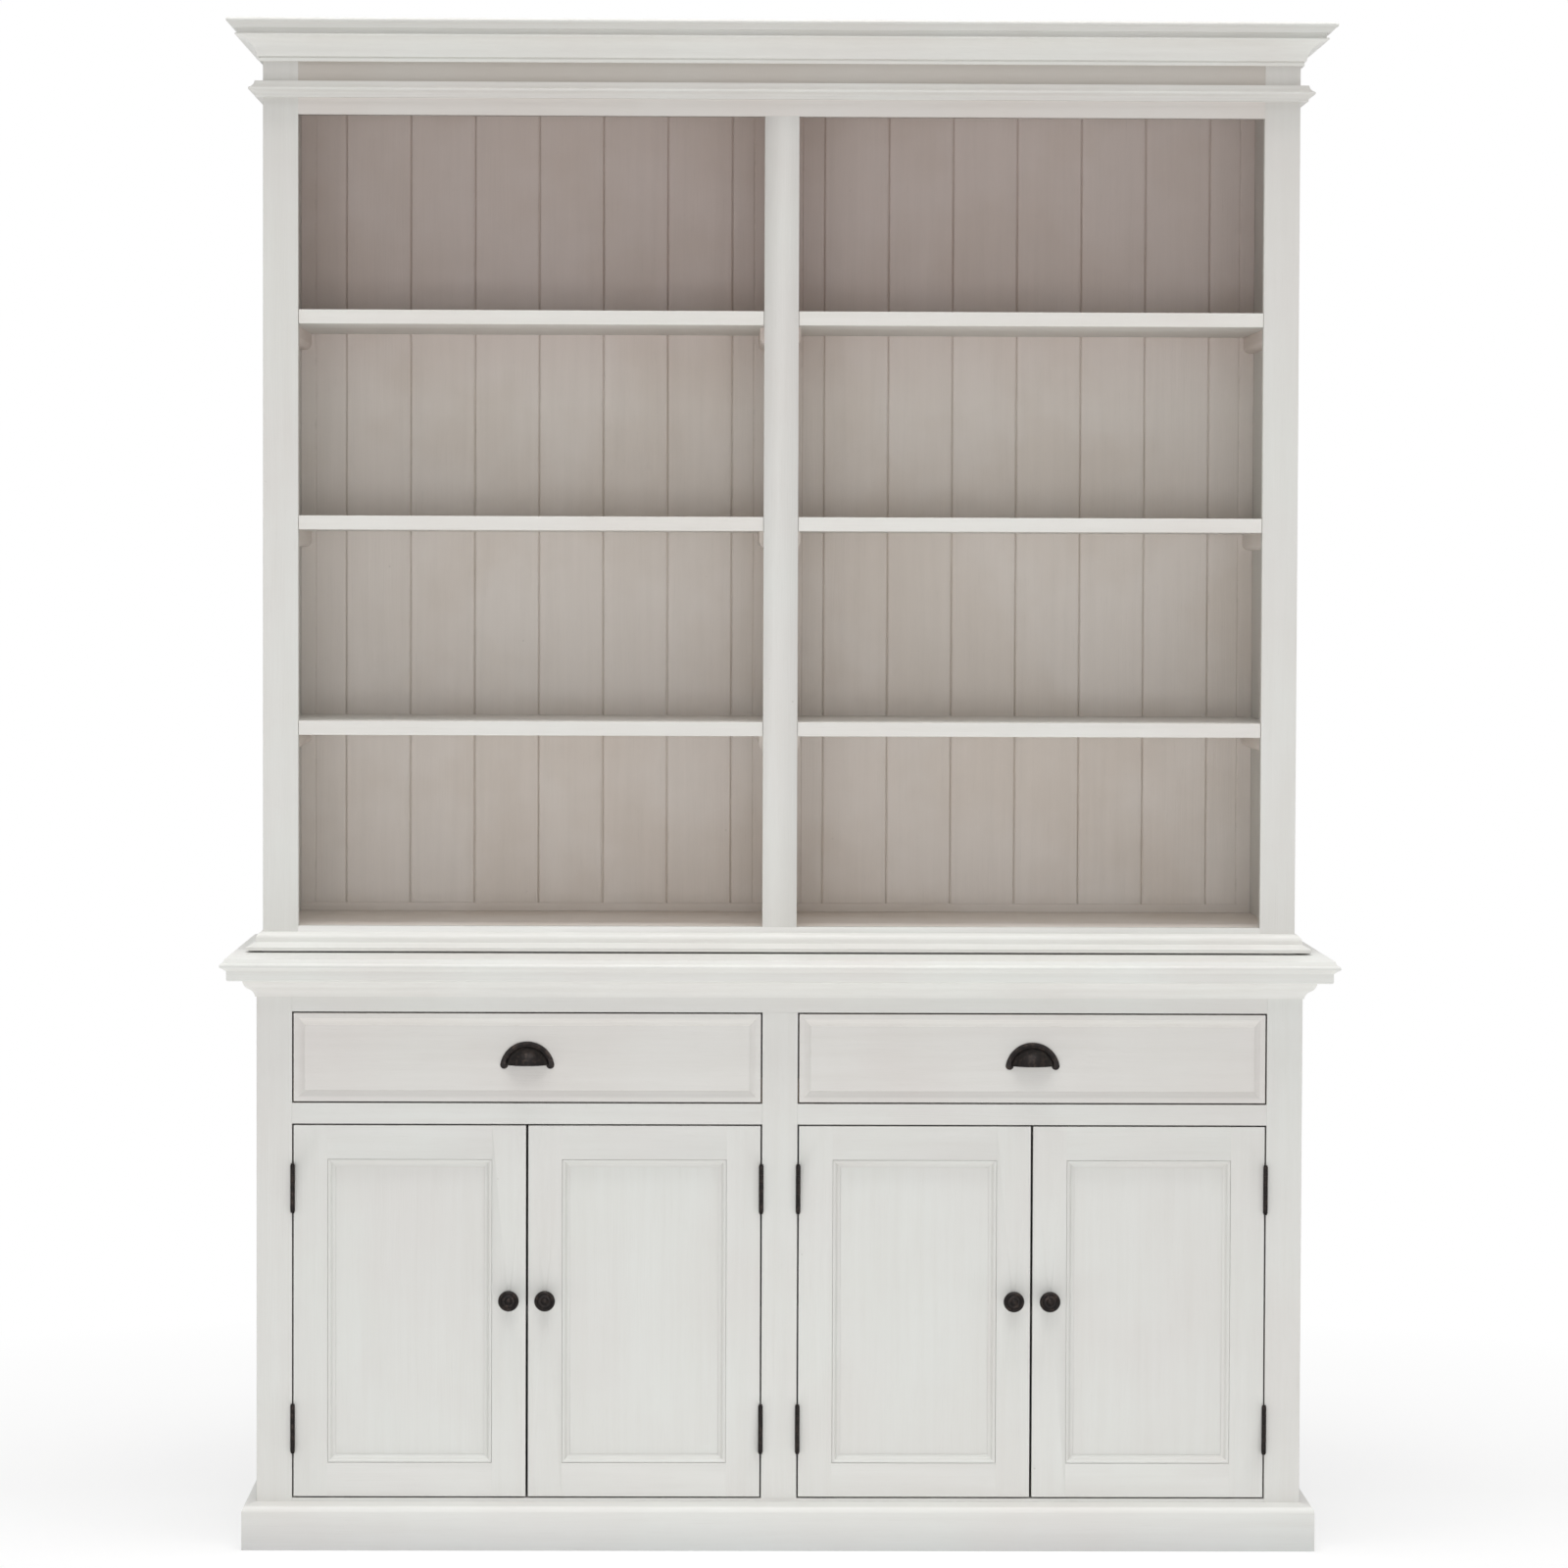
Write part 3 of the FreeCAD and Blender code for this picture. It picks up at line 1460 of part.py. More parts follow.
def make_drawers():
    """Two drawers from one: front, box, bottom and pull."""
    pull, holes = make_pull()
    front = make_drawer_front(holes)
    groove_foot = "drawer_bottom_z"
    groove_head = f"{groove_foot} + drawer_bottom_thickness"
    deep = "box_inner_x + drawer_groove_depth"
    box_top = "drawer_low_z + drawer_box_height"
    side_outline = [
        ("box_half_width", "drawer_low_z"),
        ("box_half_width", box_top),
        ("box_inner_x", box_top),
        ("box_inner_x", groove_head),
        (deep, groove_head),
        (deep, groove_foot),
        ("box_inner_x", groove_foot),
        ("box_inner_x", "drawer_low_z"),
    ]
    side = prism("drawer_side", "XZ_Plane", side_outline, "drawer_front_back_y", "box_back_y")
    back = board(
        "drawer_back",
        ("-(box_inner_x)", "box_back_y - drawer_side_thickness", groove_head),
        ("2 * (box_inner_x)", "drawer_side_thickness", f"{box_top} - ({groove_head})"),
    )
    fit = "drawer_groove_clearance"
    bottom = board(
        "drawer_bottom_board",
        (f"-({deep} - {fit})", "drawer_front_back_y", f"{groove_foot} + {fit}"),
        (f"2 * ({deep} - {fit})", "drawer_box_length", f"drawer_bottom_thickness - 2 * {fit}"),
    )
    sets = {
        "front": [front],
        "box": [side, mirrored("drawer_side_mirror", side), back],
        "bottom": [bottom],
        "pull": pull,
    }
    for hand, x in (("left", "-(bay_centre_x)"), ("right", "bay_centre_x")):
        for part, shapes in sets.items():
            node(
                f"drawer_{hand}_{part}",
                [moved(f"drawer_{hand}_{part}_set", shapes, (x, "0", "0"))],
            )


def check_document():
    """Stops at any object that failed, and at any sub-part that isn't made of valid solids."""
    for item in DOCUMENT.Objects:
        if "Invalid" in item.State or "Error" in item.State:
            raise ValueError(f"{item.Name} failed: {item.State}")
    for item in NODES:
        shape = item.Shape
        if shape.isNull() or not shape.isValid() or not shape.Solids:
            raise ValueError(f"{item.Label} has no valid solid")


def export_nodes():
    """Writes each sub-part to its own file."""
    os.makedirs("parts", exist_ok=True)
    for item in NODES:
        item.Shape.exportStep(f"parts/{item.Label}.step")
        print(item.Label, len(item.Shape.Solids), round(item.Shape.Volume))


make_sheet()
make_base_carcass()
make_cupboard_fittings()
make_drawer_supports()
make_plinth()
make_counter()
make_hutch_carcass()
make_hutch_back()
make_hutch_shelves()
make_cornice()
make_astragal()
make_foot_moulding()
make_doors(make_hinge_sides())
make_drawers()
DOCUMENT.recompute()
check_document()
export_nodes()
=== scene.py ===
"""A white painted storage cabinet with a hutch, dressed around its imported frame."""

from __future__ import annotations

import json
import logging
import math
import random
from dataclasses import dataclass, field
from enum import Enum
from typing import Any, Callable, Iterable, Sequence

import bmesh
import bpy
from mathutils import Matrix, Vector

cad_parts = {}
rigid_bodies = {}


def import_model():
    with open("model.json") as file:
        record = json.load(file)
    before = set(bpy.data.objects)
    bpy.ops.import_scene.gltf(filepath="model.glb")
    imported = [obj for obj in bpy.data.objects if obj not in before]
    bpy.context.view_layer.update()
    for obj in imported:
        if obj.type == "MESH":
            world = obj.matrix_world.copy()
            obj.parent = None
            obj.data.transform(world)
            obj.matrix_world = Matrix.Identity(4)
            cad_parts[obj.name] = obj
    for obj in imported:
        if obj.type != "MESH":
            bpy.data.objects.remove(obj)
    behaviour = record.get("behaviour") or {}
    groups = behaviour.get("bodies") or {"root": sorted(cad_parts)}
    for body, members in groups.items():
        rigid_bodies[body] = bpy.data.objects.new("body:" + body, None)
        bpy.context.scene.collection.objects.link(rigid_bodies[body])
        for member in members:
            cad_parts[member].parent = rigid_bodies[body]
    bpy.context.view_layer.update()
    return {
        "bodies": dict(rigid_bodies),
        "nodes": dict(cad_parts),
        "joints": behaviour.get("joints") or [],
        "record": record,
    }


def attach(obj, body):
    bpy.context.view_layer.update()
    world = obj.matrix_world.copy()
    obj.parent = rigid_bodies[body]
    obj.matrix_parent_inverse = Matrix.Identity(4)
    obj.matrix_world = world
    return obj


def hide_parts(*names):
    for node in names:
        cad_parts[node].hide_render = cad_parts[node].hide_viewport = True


LOG = logging.getLogger("cabinet")
MM = 0.001
MICROMETRES = 1e6
CABINET = "cabinet"
DOORS = (1, 2, 3, 4)
WHITE = (1.0, 1.0, 1.0, 1.0)
FRONTWARD = (0, -1, 0)
BACKWARD = (0, 1, 0)

Pair = tuple[float, float]
Triple = tuple[float, float, float]
Colour = tuple[float, float, float, float]


class Slot(Enum):
    """The record's material slots."""

    PAINT = "painted_wood"
    BARE = "bare_wood"
    METAL = "dark_hardware"


class Rounding(Enum):
    """Which sharp edges of a board are rounded over."""

    FREE = "free"
    OUTLINE = "outline"
    NONE = "none"


class Side(Enum):
    """The left or the right half, seen from the front."""

    LEFT = -1
    RIGHT = 1

    @property
    def word(self) -> str:
        """The side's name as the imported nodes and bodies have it."""
        return self.name.lower()


# Shader groups


class ShaderGroup:
    """A node group with named inputs and outputs, built once."""

    def __init__(self, name: str) -> None:
        """Starts an empty group.

        Args:
            name: the group's name.
        """
        self.tree = bpy.data.node_groups.new(name, "ShaderNodeTree")
        self.entry = self.tree.nodes.new("NodeGroupInput")
        self.exit = self.tree.nodes.new("NodeGroupOutput")

    def take(self, name: str, kind: str, value: Any = None) -> Any:
        """Adds an input.

        Args:
            name: the input's name.
            kind: Float, Vector or Color.
            value: its default.

        Returns:
            The socket that carries it inside the group.
        """
        socket = self.tree.interface.new_socket(
            name, in_out="INPUT", socket_type=f"NodeSocket{kind}"
        )
        if value is not None:
            socket.default_value = value
        return self.entry.outputs[name]

    def give(self, name: str, source: Any) -> None:
        """Adds a Float output and links the socket that feeds it."""
        self.tree.interface.new_socket(name, in_out="OUTPUT", socket_type="NodeSocketFloat")
        self.tree.links.new(source, self.exit.inputs[name])


class Wiring:
    """Short ways to add and link nodes in one tree."""

    mix_inputs = (0, 6, 7)
    mix_output = 2

    def __init__(self, tree: Any) -> None:
        """Keeps the shader node tree that the nodes go into."""
        self.tree = tree

    def feed(self, item: Any, values: dict[Any, Any]) -> None:
        """Sets or links some of a node's inputs.

        Args:
            item: the node.
            values: input name or number to a value or to a socket that feeds it.
        """
        for key, value in values.items():
            if isinstance(value, bpy.types.NodeSocket):
                self.tree.links.new(value, item.inputs[key])
            else:
                item.inputs[key].default_value = value

    def node(self, kind: str, values: dict[Any, Any] | None = None, **settings: Any) -> Any:
        """Adds a node.

        Args:
            kind: the node's type after ShaderNode.
            values: input name or number to a value or to a socket that feeds it.
            settings: the node's own properties.

        Returns:
            The node.
        """
        item = self.tree.nodes.new(f"ShaderNode{kind}")
        for name, value in settings.items():
            setattr(item, name, value)
        self.feed(item, values or {})
        return item

    def attribute(self, name: str, output: str = "Fac") -> Any:
        """Gives a mesh attribute's socket: Fac for a number, Vector for a place."""
        return self.node("Attribute", attribute_name=name).outputs[output]

    def place(self) -> Any:
        """Gives the socket of the Object coordinates."""
        return self.node("TexCoord").outputs["Object"]

    def math(self, how: str, first: Any, second: Any = 0.0, clamp: bool = False) -> Any:
        """Adds a math node on two numbers or sockets and gives its result."""
        item = self.node("Math", {0: first, 1: second}, operation=how, use_clamp=clamp)
        return item.outputs[0]

    def times(self, first: Any, second: Any) -> Any:
        """Multiplies two numbers or sockets."""
        return self.math("MULTIPLY", first, second)

    def noise(self, vector: Any, scale: float, detail: float, rough: float = 0.5) -> Any:
        """Adds a noise texture and gives its value; the scale is features per metre."""
        values = {"Vector": vector, "Scale": scale, "Detail": detail, "Roughness": rough}
        return self.node("TexNoise", values).outputs["Fac"]

    def spread(self, value: Any, band: Pair, start: float = 0.0, end: float = 1.0) -> Any:
        """Maps a band of values to the range from start to end and stays inside it."""
        values = {0: value, 1: band[0], 2: band[1], 3: start, 4: end}
        return self.node("MapRange", values, clamp=True).outputs[0]

    def blend(self, share: Any, first: Any, second: Any, how: str = "MIX") -> Any:
        """Mixes two colours.

        Args:
            share: how much of the second, a number or a socket.
            first: a colour or a socket.
            second: a colour or a socket.
            how: the blend type.

        Returns:
            The colour's socket.
        """
        values = dict(zip(self.mix_inputs, (share, first, second)))
        item = self.node("Mix", values, data_type="RGBA", blend_type=how)
        return item.outputs[self.mix_output]

    def stretched(self, board: Any, along: Any, across: Any) -> Any:
        """Scales board coordinates, whose first axis runs along the grain."""
        scale = self.node("CombineXYZ", {0: along, 1: across, 2: across}).outputs[0]
        return self.node("VectorMath", {0: board, 1: scale}, operation="MULTIPLY").outputs[0]

    def grain(self, board: Any, scale: tuple[Any, Any], detail: float, rough: float = 0.5) -> Any:
        """Adds noise drawn out along a board, with scales along and across the grain."""
        return self.noise(self.stretched(board, *scale), 1.0, detail, rough)

    def bump(self, height: Any, distance: float, strength: float) -> Any:
        """Bends the normal by a height; where it is 1, it stands the distance high."""
        values = {"Height": height, "Distance": distance, "Strength": strength}
        return self.node("Bump", values).outputs["Normal"]

    def background_seen(self) -> Any:
        """Finds the rays that see the background: the camera's, reflected and let through.

        Returns:
            The socket, which is 1 for those rays and 0 for the light on the object.
        """
        path = self.node("LightPath").outputs
        seen = self.math("MAXIMUM", path["Is Camera Ray"], path["Is Glossy Ray"])
        return self.math("MAXIMUM", seen, path["Is Transmission Ray"])


def brush_group() -> Any:
    """Builds the group of paint that was brushed along a board.

    Returns:
        The node group, with Height, Streak, Pores and Cloud from 0 to 1.
    """
    sway_scale = 6.0
    sway_reach = (0.0, 6.0 * MM, 6.0 * MM)
    band_scale = (3.5, 95.0)
    pore_scale = (24.0, 1500.0)
    pore_band = (0.62, 0.72)
    cloud_scale = 5.0
    stroke_share, band_share, pore_share = 0.62, 0.3, 0.12
    group = ShaderGroup("brushed_paint")
    board = group.take("Board", "Vector")
    across = group.take("Strokes", "Float", 620.0)
    along = group.take("Length", "Float", 11.0)
    wiring = Wiring(group.tree)
    values = {"Vector": board, "Scale": sway_scale, "Detail": 1.0}
    wavy = wiring.node("TexNoise", values).outputs["Color"]
    sway = wiring.node("VectorMath", {0: wavy, 1: sway_reach}, operation="MULTIPLY").outputs[0]
    bent = wiring.node("VectorMath", {0: board, 1: sway}, operation="ADD").outputs[0]
    strokes = wiring.grain(bent, (along, across), detail=3.0, rough=0.6)
    bands = wiring.grain(bent, band_scale, detail=4.0, rough=0.6)
    pores = wiring.spread(wiring.grain(bent, pore_scale, detail=2.0), pore_band)
    both = wiring.math("ADD", wiring.times(strokes, stroke_share), wiring.times(bands, band_share))
    group.give("Height", wiring.math("SUBTRACT", both, wiring.times(pores, pore_share)))
    group.give("Streak", bands)
    group.give("Pores", pores)
    group.give("Cloud", wiring.noise(board, cloud_scale, detail=3.0))
    return group.tree


def wear_group() -> Any:
    """Builds the group of worn edges and small dents.

    Returns:
        The node group, with Rubbed and Nicks from 0 to 1.
    """
    rub_scale = 55.0
    rub_band = (0.50, 0.72)
    nick_scale = 26.0
    nick_reach = (0.02, 0.05)
    patch_scale = 9.0
    patch_band = (0.60, 0.66)
    group = ShaderGroup("edge_wear")
    board = group.take("Board", "Vector")
    edge = group.take("Edge", "Float", 0.0)
    amount = group.take("Amount", "Float", 0.5)
    wiring = Wiring(group.tree)
    rub = wiring.noise(board, rub_scale, detail=4.0, rough=0.65)
    rub = wiring.times(wiring.spread(rub, rub_band), edge)
    group.give("Rubbed", wiring.times(rub, amount))
    values = {"Vector": board, "Scale": nick_scale, "Randomness": 1.0}
    spots = wiring.node("TexVoronoi", values).outputs["Distance"]
    near = wiring.spread(spots, nick_reach, 1.0, 0.0)
    few = wiring.spread(wiring.noise(board, patch_scale, detail=2.0), patch_band)
    group.give("Nicks", wiring.times(wiring.times(near, few), amount))
    return group.tree


def wood_group() -> Any:
    """Builds the group of sawn softwood.

    Returns:
        The node group, with Rings and Pores from 0 to 1.
    """
    warp_scale, warp_share = (1.6, 22.0), 14.0
    ring_scale, ring_share = (1.2, 60.0), 3.0
    pore_scale = (30.0, 1400.0)
    softness = 0.9
    group = ShaderGroup("softwood_grain")
    board = group.take("Board", "Vector")
    wiring = Wiring(group.tree)
    warp = wiring.times(wiring.grain(board, warp_scale, detail=2.0), warp_share)
    rings = wiring.times(wiring.grain(board, ring_scale, detail=2.0), ring_share)
    wave = wiring.math("FRACT", wiring.math("ADD", warp, rings))
    group.give("Rings", wiring.math("SMOOTH_MIN", wave, softness))
    group.give("Pores", wiring.grain(board, pore_scale, detail=2.0))
    return group.tree


class Groups:
    """The shader groups that more than one finish uses, each built when first asked for."""

    makers: dict[str, Callable[[], Any]] = {
        "brush": brush_group,
        "wear": wear_group,
        "wood": wood_group,
    }
    built: dict[str, Any] = {}

    @classmethod
    def get(cls, name: str) -> Any:
        """Gives a group.

        Args:
            name: brush, wear or wood.

        Returns:
            The node group.
        """
        if name not in cls.built:
            cls.built[name] = cls.makers[name]()
        return cls.built[name]


# Finishes


@dataclass(frozen=True)
class Finish:
    """What every finish shares: its name and its slot."""

    name: str
    slot: Slot

    def material(self) -> Any:
        """Builds the material.

        Returns:
            The material.
        """
        material = bpy.data.materials.new(self.name)
        material.use_nodes = True
        material.node_tree.nodes.clear()
        wiring = Wiring(material.node_tree)
        shader = wiring.node("BsdfPrincipled")
        wiring.node("OutputMaterial", {"Surface": self.surface(wiring, shader)})
        return material

    def surface(self, wiring: Wiring, shader: Any) -> Any:
        """Feeds the Principled shader and gives the surface that it makes."""
        wiring.feed(shader, self.looks(wiring))
        return shader.outputs["BSDF"]

    def looks(self, wiring: Wiring) -> dict[str, Any]:
        """Gives the shader's inputs, as values or sockets. Each finish has its own way."""
        raise NotImplementedError


@dataclass(frozen=True)
class Shade:
    """Painted shade that darkens a paint with height, towards the top or towards the floor.

    Between the two heights, in metres, the colour is multiplied by a growing share of the tint.
    """

    start: float = 1.0
    full: float = 2.0
    tint: Colour = (0.905, 0.885, 0.88, 1.0)


@dataclass(frozen=True)
class Paint(Finish):
    """Satin white paint, brushed on along the boards, a little worn at the edges.

    Wear, streaks, pores and patches say how strong each effect is. A band says between which
    values of its pattern an effect grows from nothing to full strength. The shade is painted shade
    by height. The two slope factors multiply the colour where a moulding looks up, for a painted
    highlight, or looks down, for painted shade.
    """

    colour: Colour = (0.765, 0.771, 0.740, 1.0)
    warm: Colour = (0.750, 0.739, 0.712, 1.0)
    worn: Colour = (0.60, 0.57, 0.52, 1.0)
    dent: Colour = (0.50, 0.48, 0.44, 1.0)
    roughness: float = 0.42
    roughness_steps: Pair = (-0.06, 0.08)
    relief: float = 0.4 * MM
    relief_share: float = 0.8
    nick_depth: float = 1.5
    wear: float = 0.45
    streaks: float = 0.115
    pores: float = 0.10
    shade: Shade = Shade()
    patches: float = 0.15
    patch_tint: Colour = (0.93, 0.91, 0.885, 1.0)
    patch_noise: Triple = (6.0, 3.0, 0.55)
    upward: float = 1.0
    downward: float = 1.0
    cloud_band: Pair = (0.35, 0.65)
    streak_band: Pair = (0.38, 0.7)
    stroke_band: Pair = (0.3, 0.7)
    patch_band: Pair = (0.42, 0.6)
    lean_band: Pair = (0.05, 0.25)
    level_band: Pair = (0.88, 0.97)

    def sloped(self, wiring: Wiring, base: Any) -> Any:
        """Paints a highlight on slopes that look up and shade on those that look down.

        Args:
            wiring: where the nodes go.
            base: the paint's colour.

        Returns:
            The colour's socket.
        """
        slope = wiring.attribute("slope")
        # Painted highlight where a face looks up and painted shade where it looks down.
        for sign, factor in ((1.0, self.upward), (-1.0, self.downward)):
            lean = tuple(sign * edge for edge in self.lean_band)
            level = tuple(sign * edge for edge in self.level_band)
            leaning = wiring.spread(slope, lean)
            share = wiring.times(leaning, wiring.spread(slope, level, 1.0, 0.0))
            base = wiring.blend(share, base, (factor, factor, factor, 1.0), "MULTIPLY")
        return base

    def aged(self, wiring: Wiring, base: Any) -> Any:
        """Adds uneven patches and painted shade by height.

        Args:
            wiring: where the nodes go.
            base: the paint's colour.

        Returns:
            The colour's socket.
        """
        place = wiring.place()
        patch = wiring.noise(place, *self.patch_noise)
        patch = wiring.spread(patch, self.patch_band, 0.0, self.patches)
        base = wiring.blend(patch, base, self.patch_tint, "MULTIPLY")
        # Painted shade by height: the colour is multiplied by the shade's tint between its two
        # heights.
        height = wiring.node("SeparateXYZ", {0: place}).outputs["Z"]
        height_shade = wiring.spread(height, (self.shade.start, self.shade.full))
        return wiring.blend(height_shade, base, self.shade.tint, "MULTIPLY")

    def looks(self, wiring: Wiring) -> dict[str, Any]:
        """Wires brushed and worn paint.

        Args:
            wiring: where the nodes go.

        Returns:
            The shader's inputs.
        """
        board = wiring.attribute("board", "Vector")
        values = {"Board": board}
        brush = wiring.node("Group", values, node_tree=Groups.get("brush")).outputs
        values = {"Amount": self.wear, "Board": board, "Edge": wiring.attribute("edge")}
        wear = wiring.node("Group", values, node_tree=Groups.get("wear")).outputs
        cloud = wiring.spread(brush["Cloud"], self.cloud_band)
        base = wiring.blend(cloud, self.colour, self.warm)
        streak = wiring.spread(brush["Streak"], self.streak_band, 0.0, self.streaks)
        for share, colour in (
            (streak, self.worn),
            (wiring.times(brush["Pores"], self.pores), self.dent),
            (wear["Rubbed"], self.worn),
            (wear["Nicks"], self.dent),
        ):
            base = wiring.blend(share, base, colour)
        base = self.sloped(wiring, self.aged(wiring, base))
        rough = [self.roughness + step for step in self.roughness_steps]
        nicks = wiring.times(wear["Nicks"], self.nick_depth)
        height = wiring.math("SUBTRACT", brush["Height"], nicks)
        return {
            "Base Color": base,
            "Roughness": wiring.spread(brush["Height"], self.stroke_band, *rough),
            "Normal": wiring.bump(height, self.relief, self.relief_share),
        }


@dataclass(frozen=True)
class BareWood(Finish):
    """Planed softwood with a little wax."""

    light: Colour = (0.62, 0.46, 0.29, 1.0)
    dark: Colour = (0.46, 0.30, 0.16, 1.0)
    ring_band: Pair = (0.2, 1.0)
    ring_share: float = 0.6
    pore_band: Pair = (0.55, 0.7)
    pore_share: float = 0.35
    gloss_band: Pair = (0.3, 0.7)
    roughness: Pair = (0.5, 0.62)
    relief: float = 0.2 * MM
    relief_share: float = 0.5

    def looks(self, wiring: Wiring) -> dict[str, Any]:
        """Wires the wood's rings and pores.

        Args:
            wiring: where the nodes go.

        Returns:
            The shader's inputs.
        """
        values = {"Board": wiring.attribute("board", "Vector")}
        wood = wiring.node("Group", values, node_tree=Groups.get("wood")).outputs
        rings = wiring.spread(wood["Rings"], self.ring_band, 0.0, self.ring_share)
        pores = wiring.spread(wood["Pores"], self.pore_band, 0.0, self.pore_share)
        base = wiring.blend(rings, self.light, self.dark)
        return {
            "Base Color": wiring.blend(pores, base, self.dark),
            "Roughness": wiring.spread(wood["Pores"], self.gloss_band, *self.roughness),
            "Normal": wiring.bump(wood["Pores"], self.relief, self.relief_share),
        }


@dataclass(frozen=True)
class DarkMetal(Finish):
    """Dark oil-rubbed metal, with warmer rubbed spots."""

    colour: Colour = (0.013, 0.0105, 0.0100, 1.0)
    rubbed: Colour = (0.050, 0.036, 0.029, 1.0)
    roughness: float = 0.38
    roughness_steps: Pair = (-0.10, 0.12)
    metallic: float = 0.75
    fine_noise: Triple = (900.0, 4.0, 0.6)
    fine_band: Pair = (0.3, 0.7)
    spot_noise: Triple = (160.0, 3.0, 0.6)
    spot_band: Pair = (0.48, 0.72)
    spot_share: float = 0.8
    edge_share: float = 0.35
    relief: float = 0.08 * MM
    relief_share: float = 0.5

    def looks(self, wiring: Wiring) -> dict[str, Any]:
        """Wires dark metal that is rubbed in spots and at the edges.

        Args:
            wiring: where the nodes go.

        Returns:
            The shader's inputs.
        """
        place = wiring.place()
        fine = wiring.noise(place, *self.fine_noise)
        spots = wiring.noise(place, *self.spot_noise)
        spots = wiring.spread(spots, self.spot_band, 0.0, self.spot_share)
        edges = wiring.times(wiring.attribute("edge"), self.edge_share)
        share = wiring.math("ADD", spots, edges, clamp=True)
        rough = [self.roughness + step for step in self.roughness_steps]
        return {
            "Base Color": wiring.blend(share, self.colour, self.rubbed),
            "Roughness": wiring.spread(fine, self.fine_band, *rough),
            "Metallic": self.metallic,
            "Normal": wiring.bump(fine, self.relief, self.relief_share),
        }


@dataclass(frozen=True)
class PaleStage(Finish):
    """A glowing floor that is white to the camera and keeps a faint shadow."""

    colour: Colour = (0.90, 0.90, 0.90, 1.0)
    roughness: float = 0.9
    shadow: float = 0.45
    shadow_reach: Pair = (1.0, 2.2)
    glow: float = 0.21

    def surface(self, wiring: Wiring, shader: Any) -> Any:
        """Adds a glow to the shader and mixes it with plain white, more so farther out.

        Args:
            wiring: where the nodes go.
            shader: the Principled shader.

        Returns:
            The surface's socket.
        """
        plain = super().surface(wiring, shader)
        away = wiring.node("VectorMath", {0: wiring.place()}, operation="LENGTH").outputs["Value"]
        white_share = wiring.spread(away, self.shadow_reach, 1.0 - self.shadow, 1.0)
        share = wiring.times(wiring.background_seen(), white_share)
        white = wiring.node("Emission", {"Color": WHITE, "Strength": 1.0}).outputs[0]
        glow = wiring.node("Emission", {"Color": self.colour, "Strength": self.glow}).outputs[0]
        lit = wiring.node("AddShader", {0: plain, 1: glow}).outputs[0]
        return wiring.node("MixShader", {0: share, 1: lit, 2: white}).outputs[0]

    def looks(self, wiring: Wiring) -> dict[str, Any]:
        """Gives the floor's plain colour and roughness."""
        return {"Base Color": self.colour, "Roughness": self.roughness}


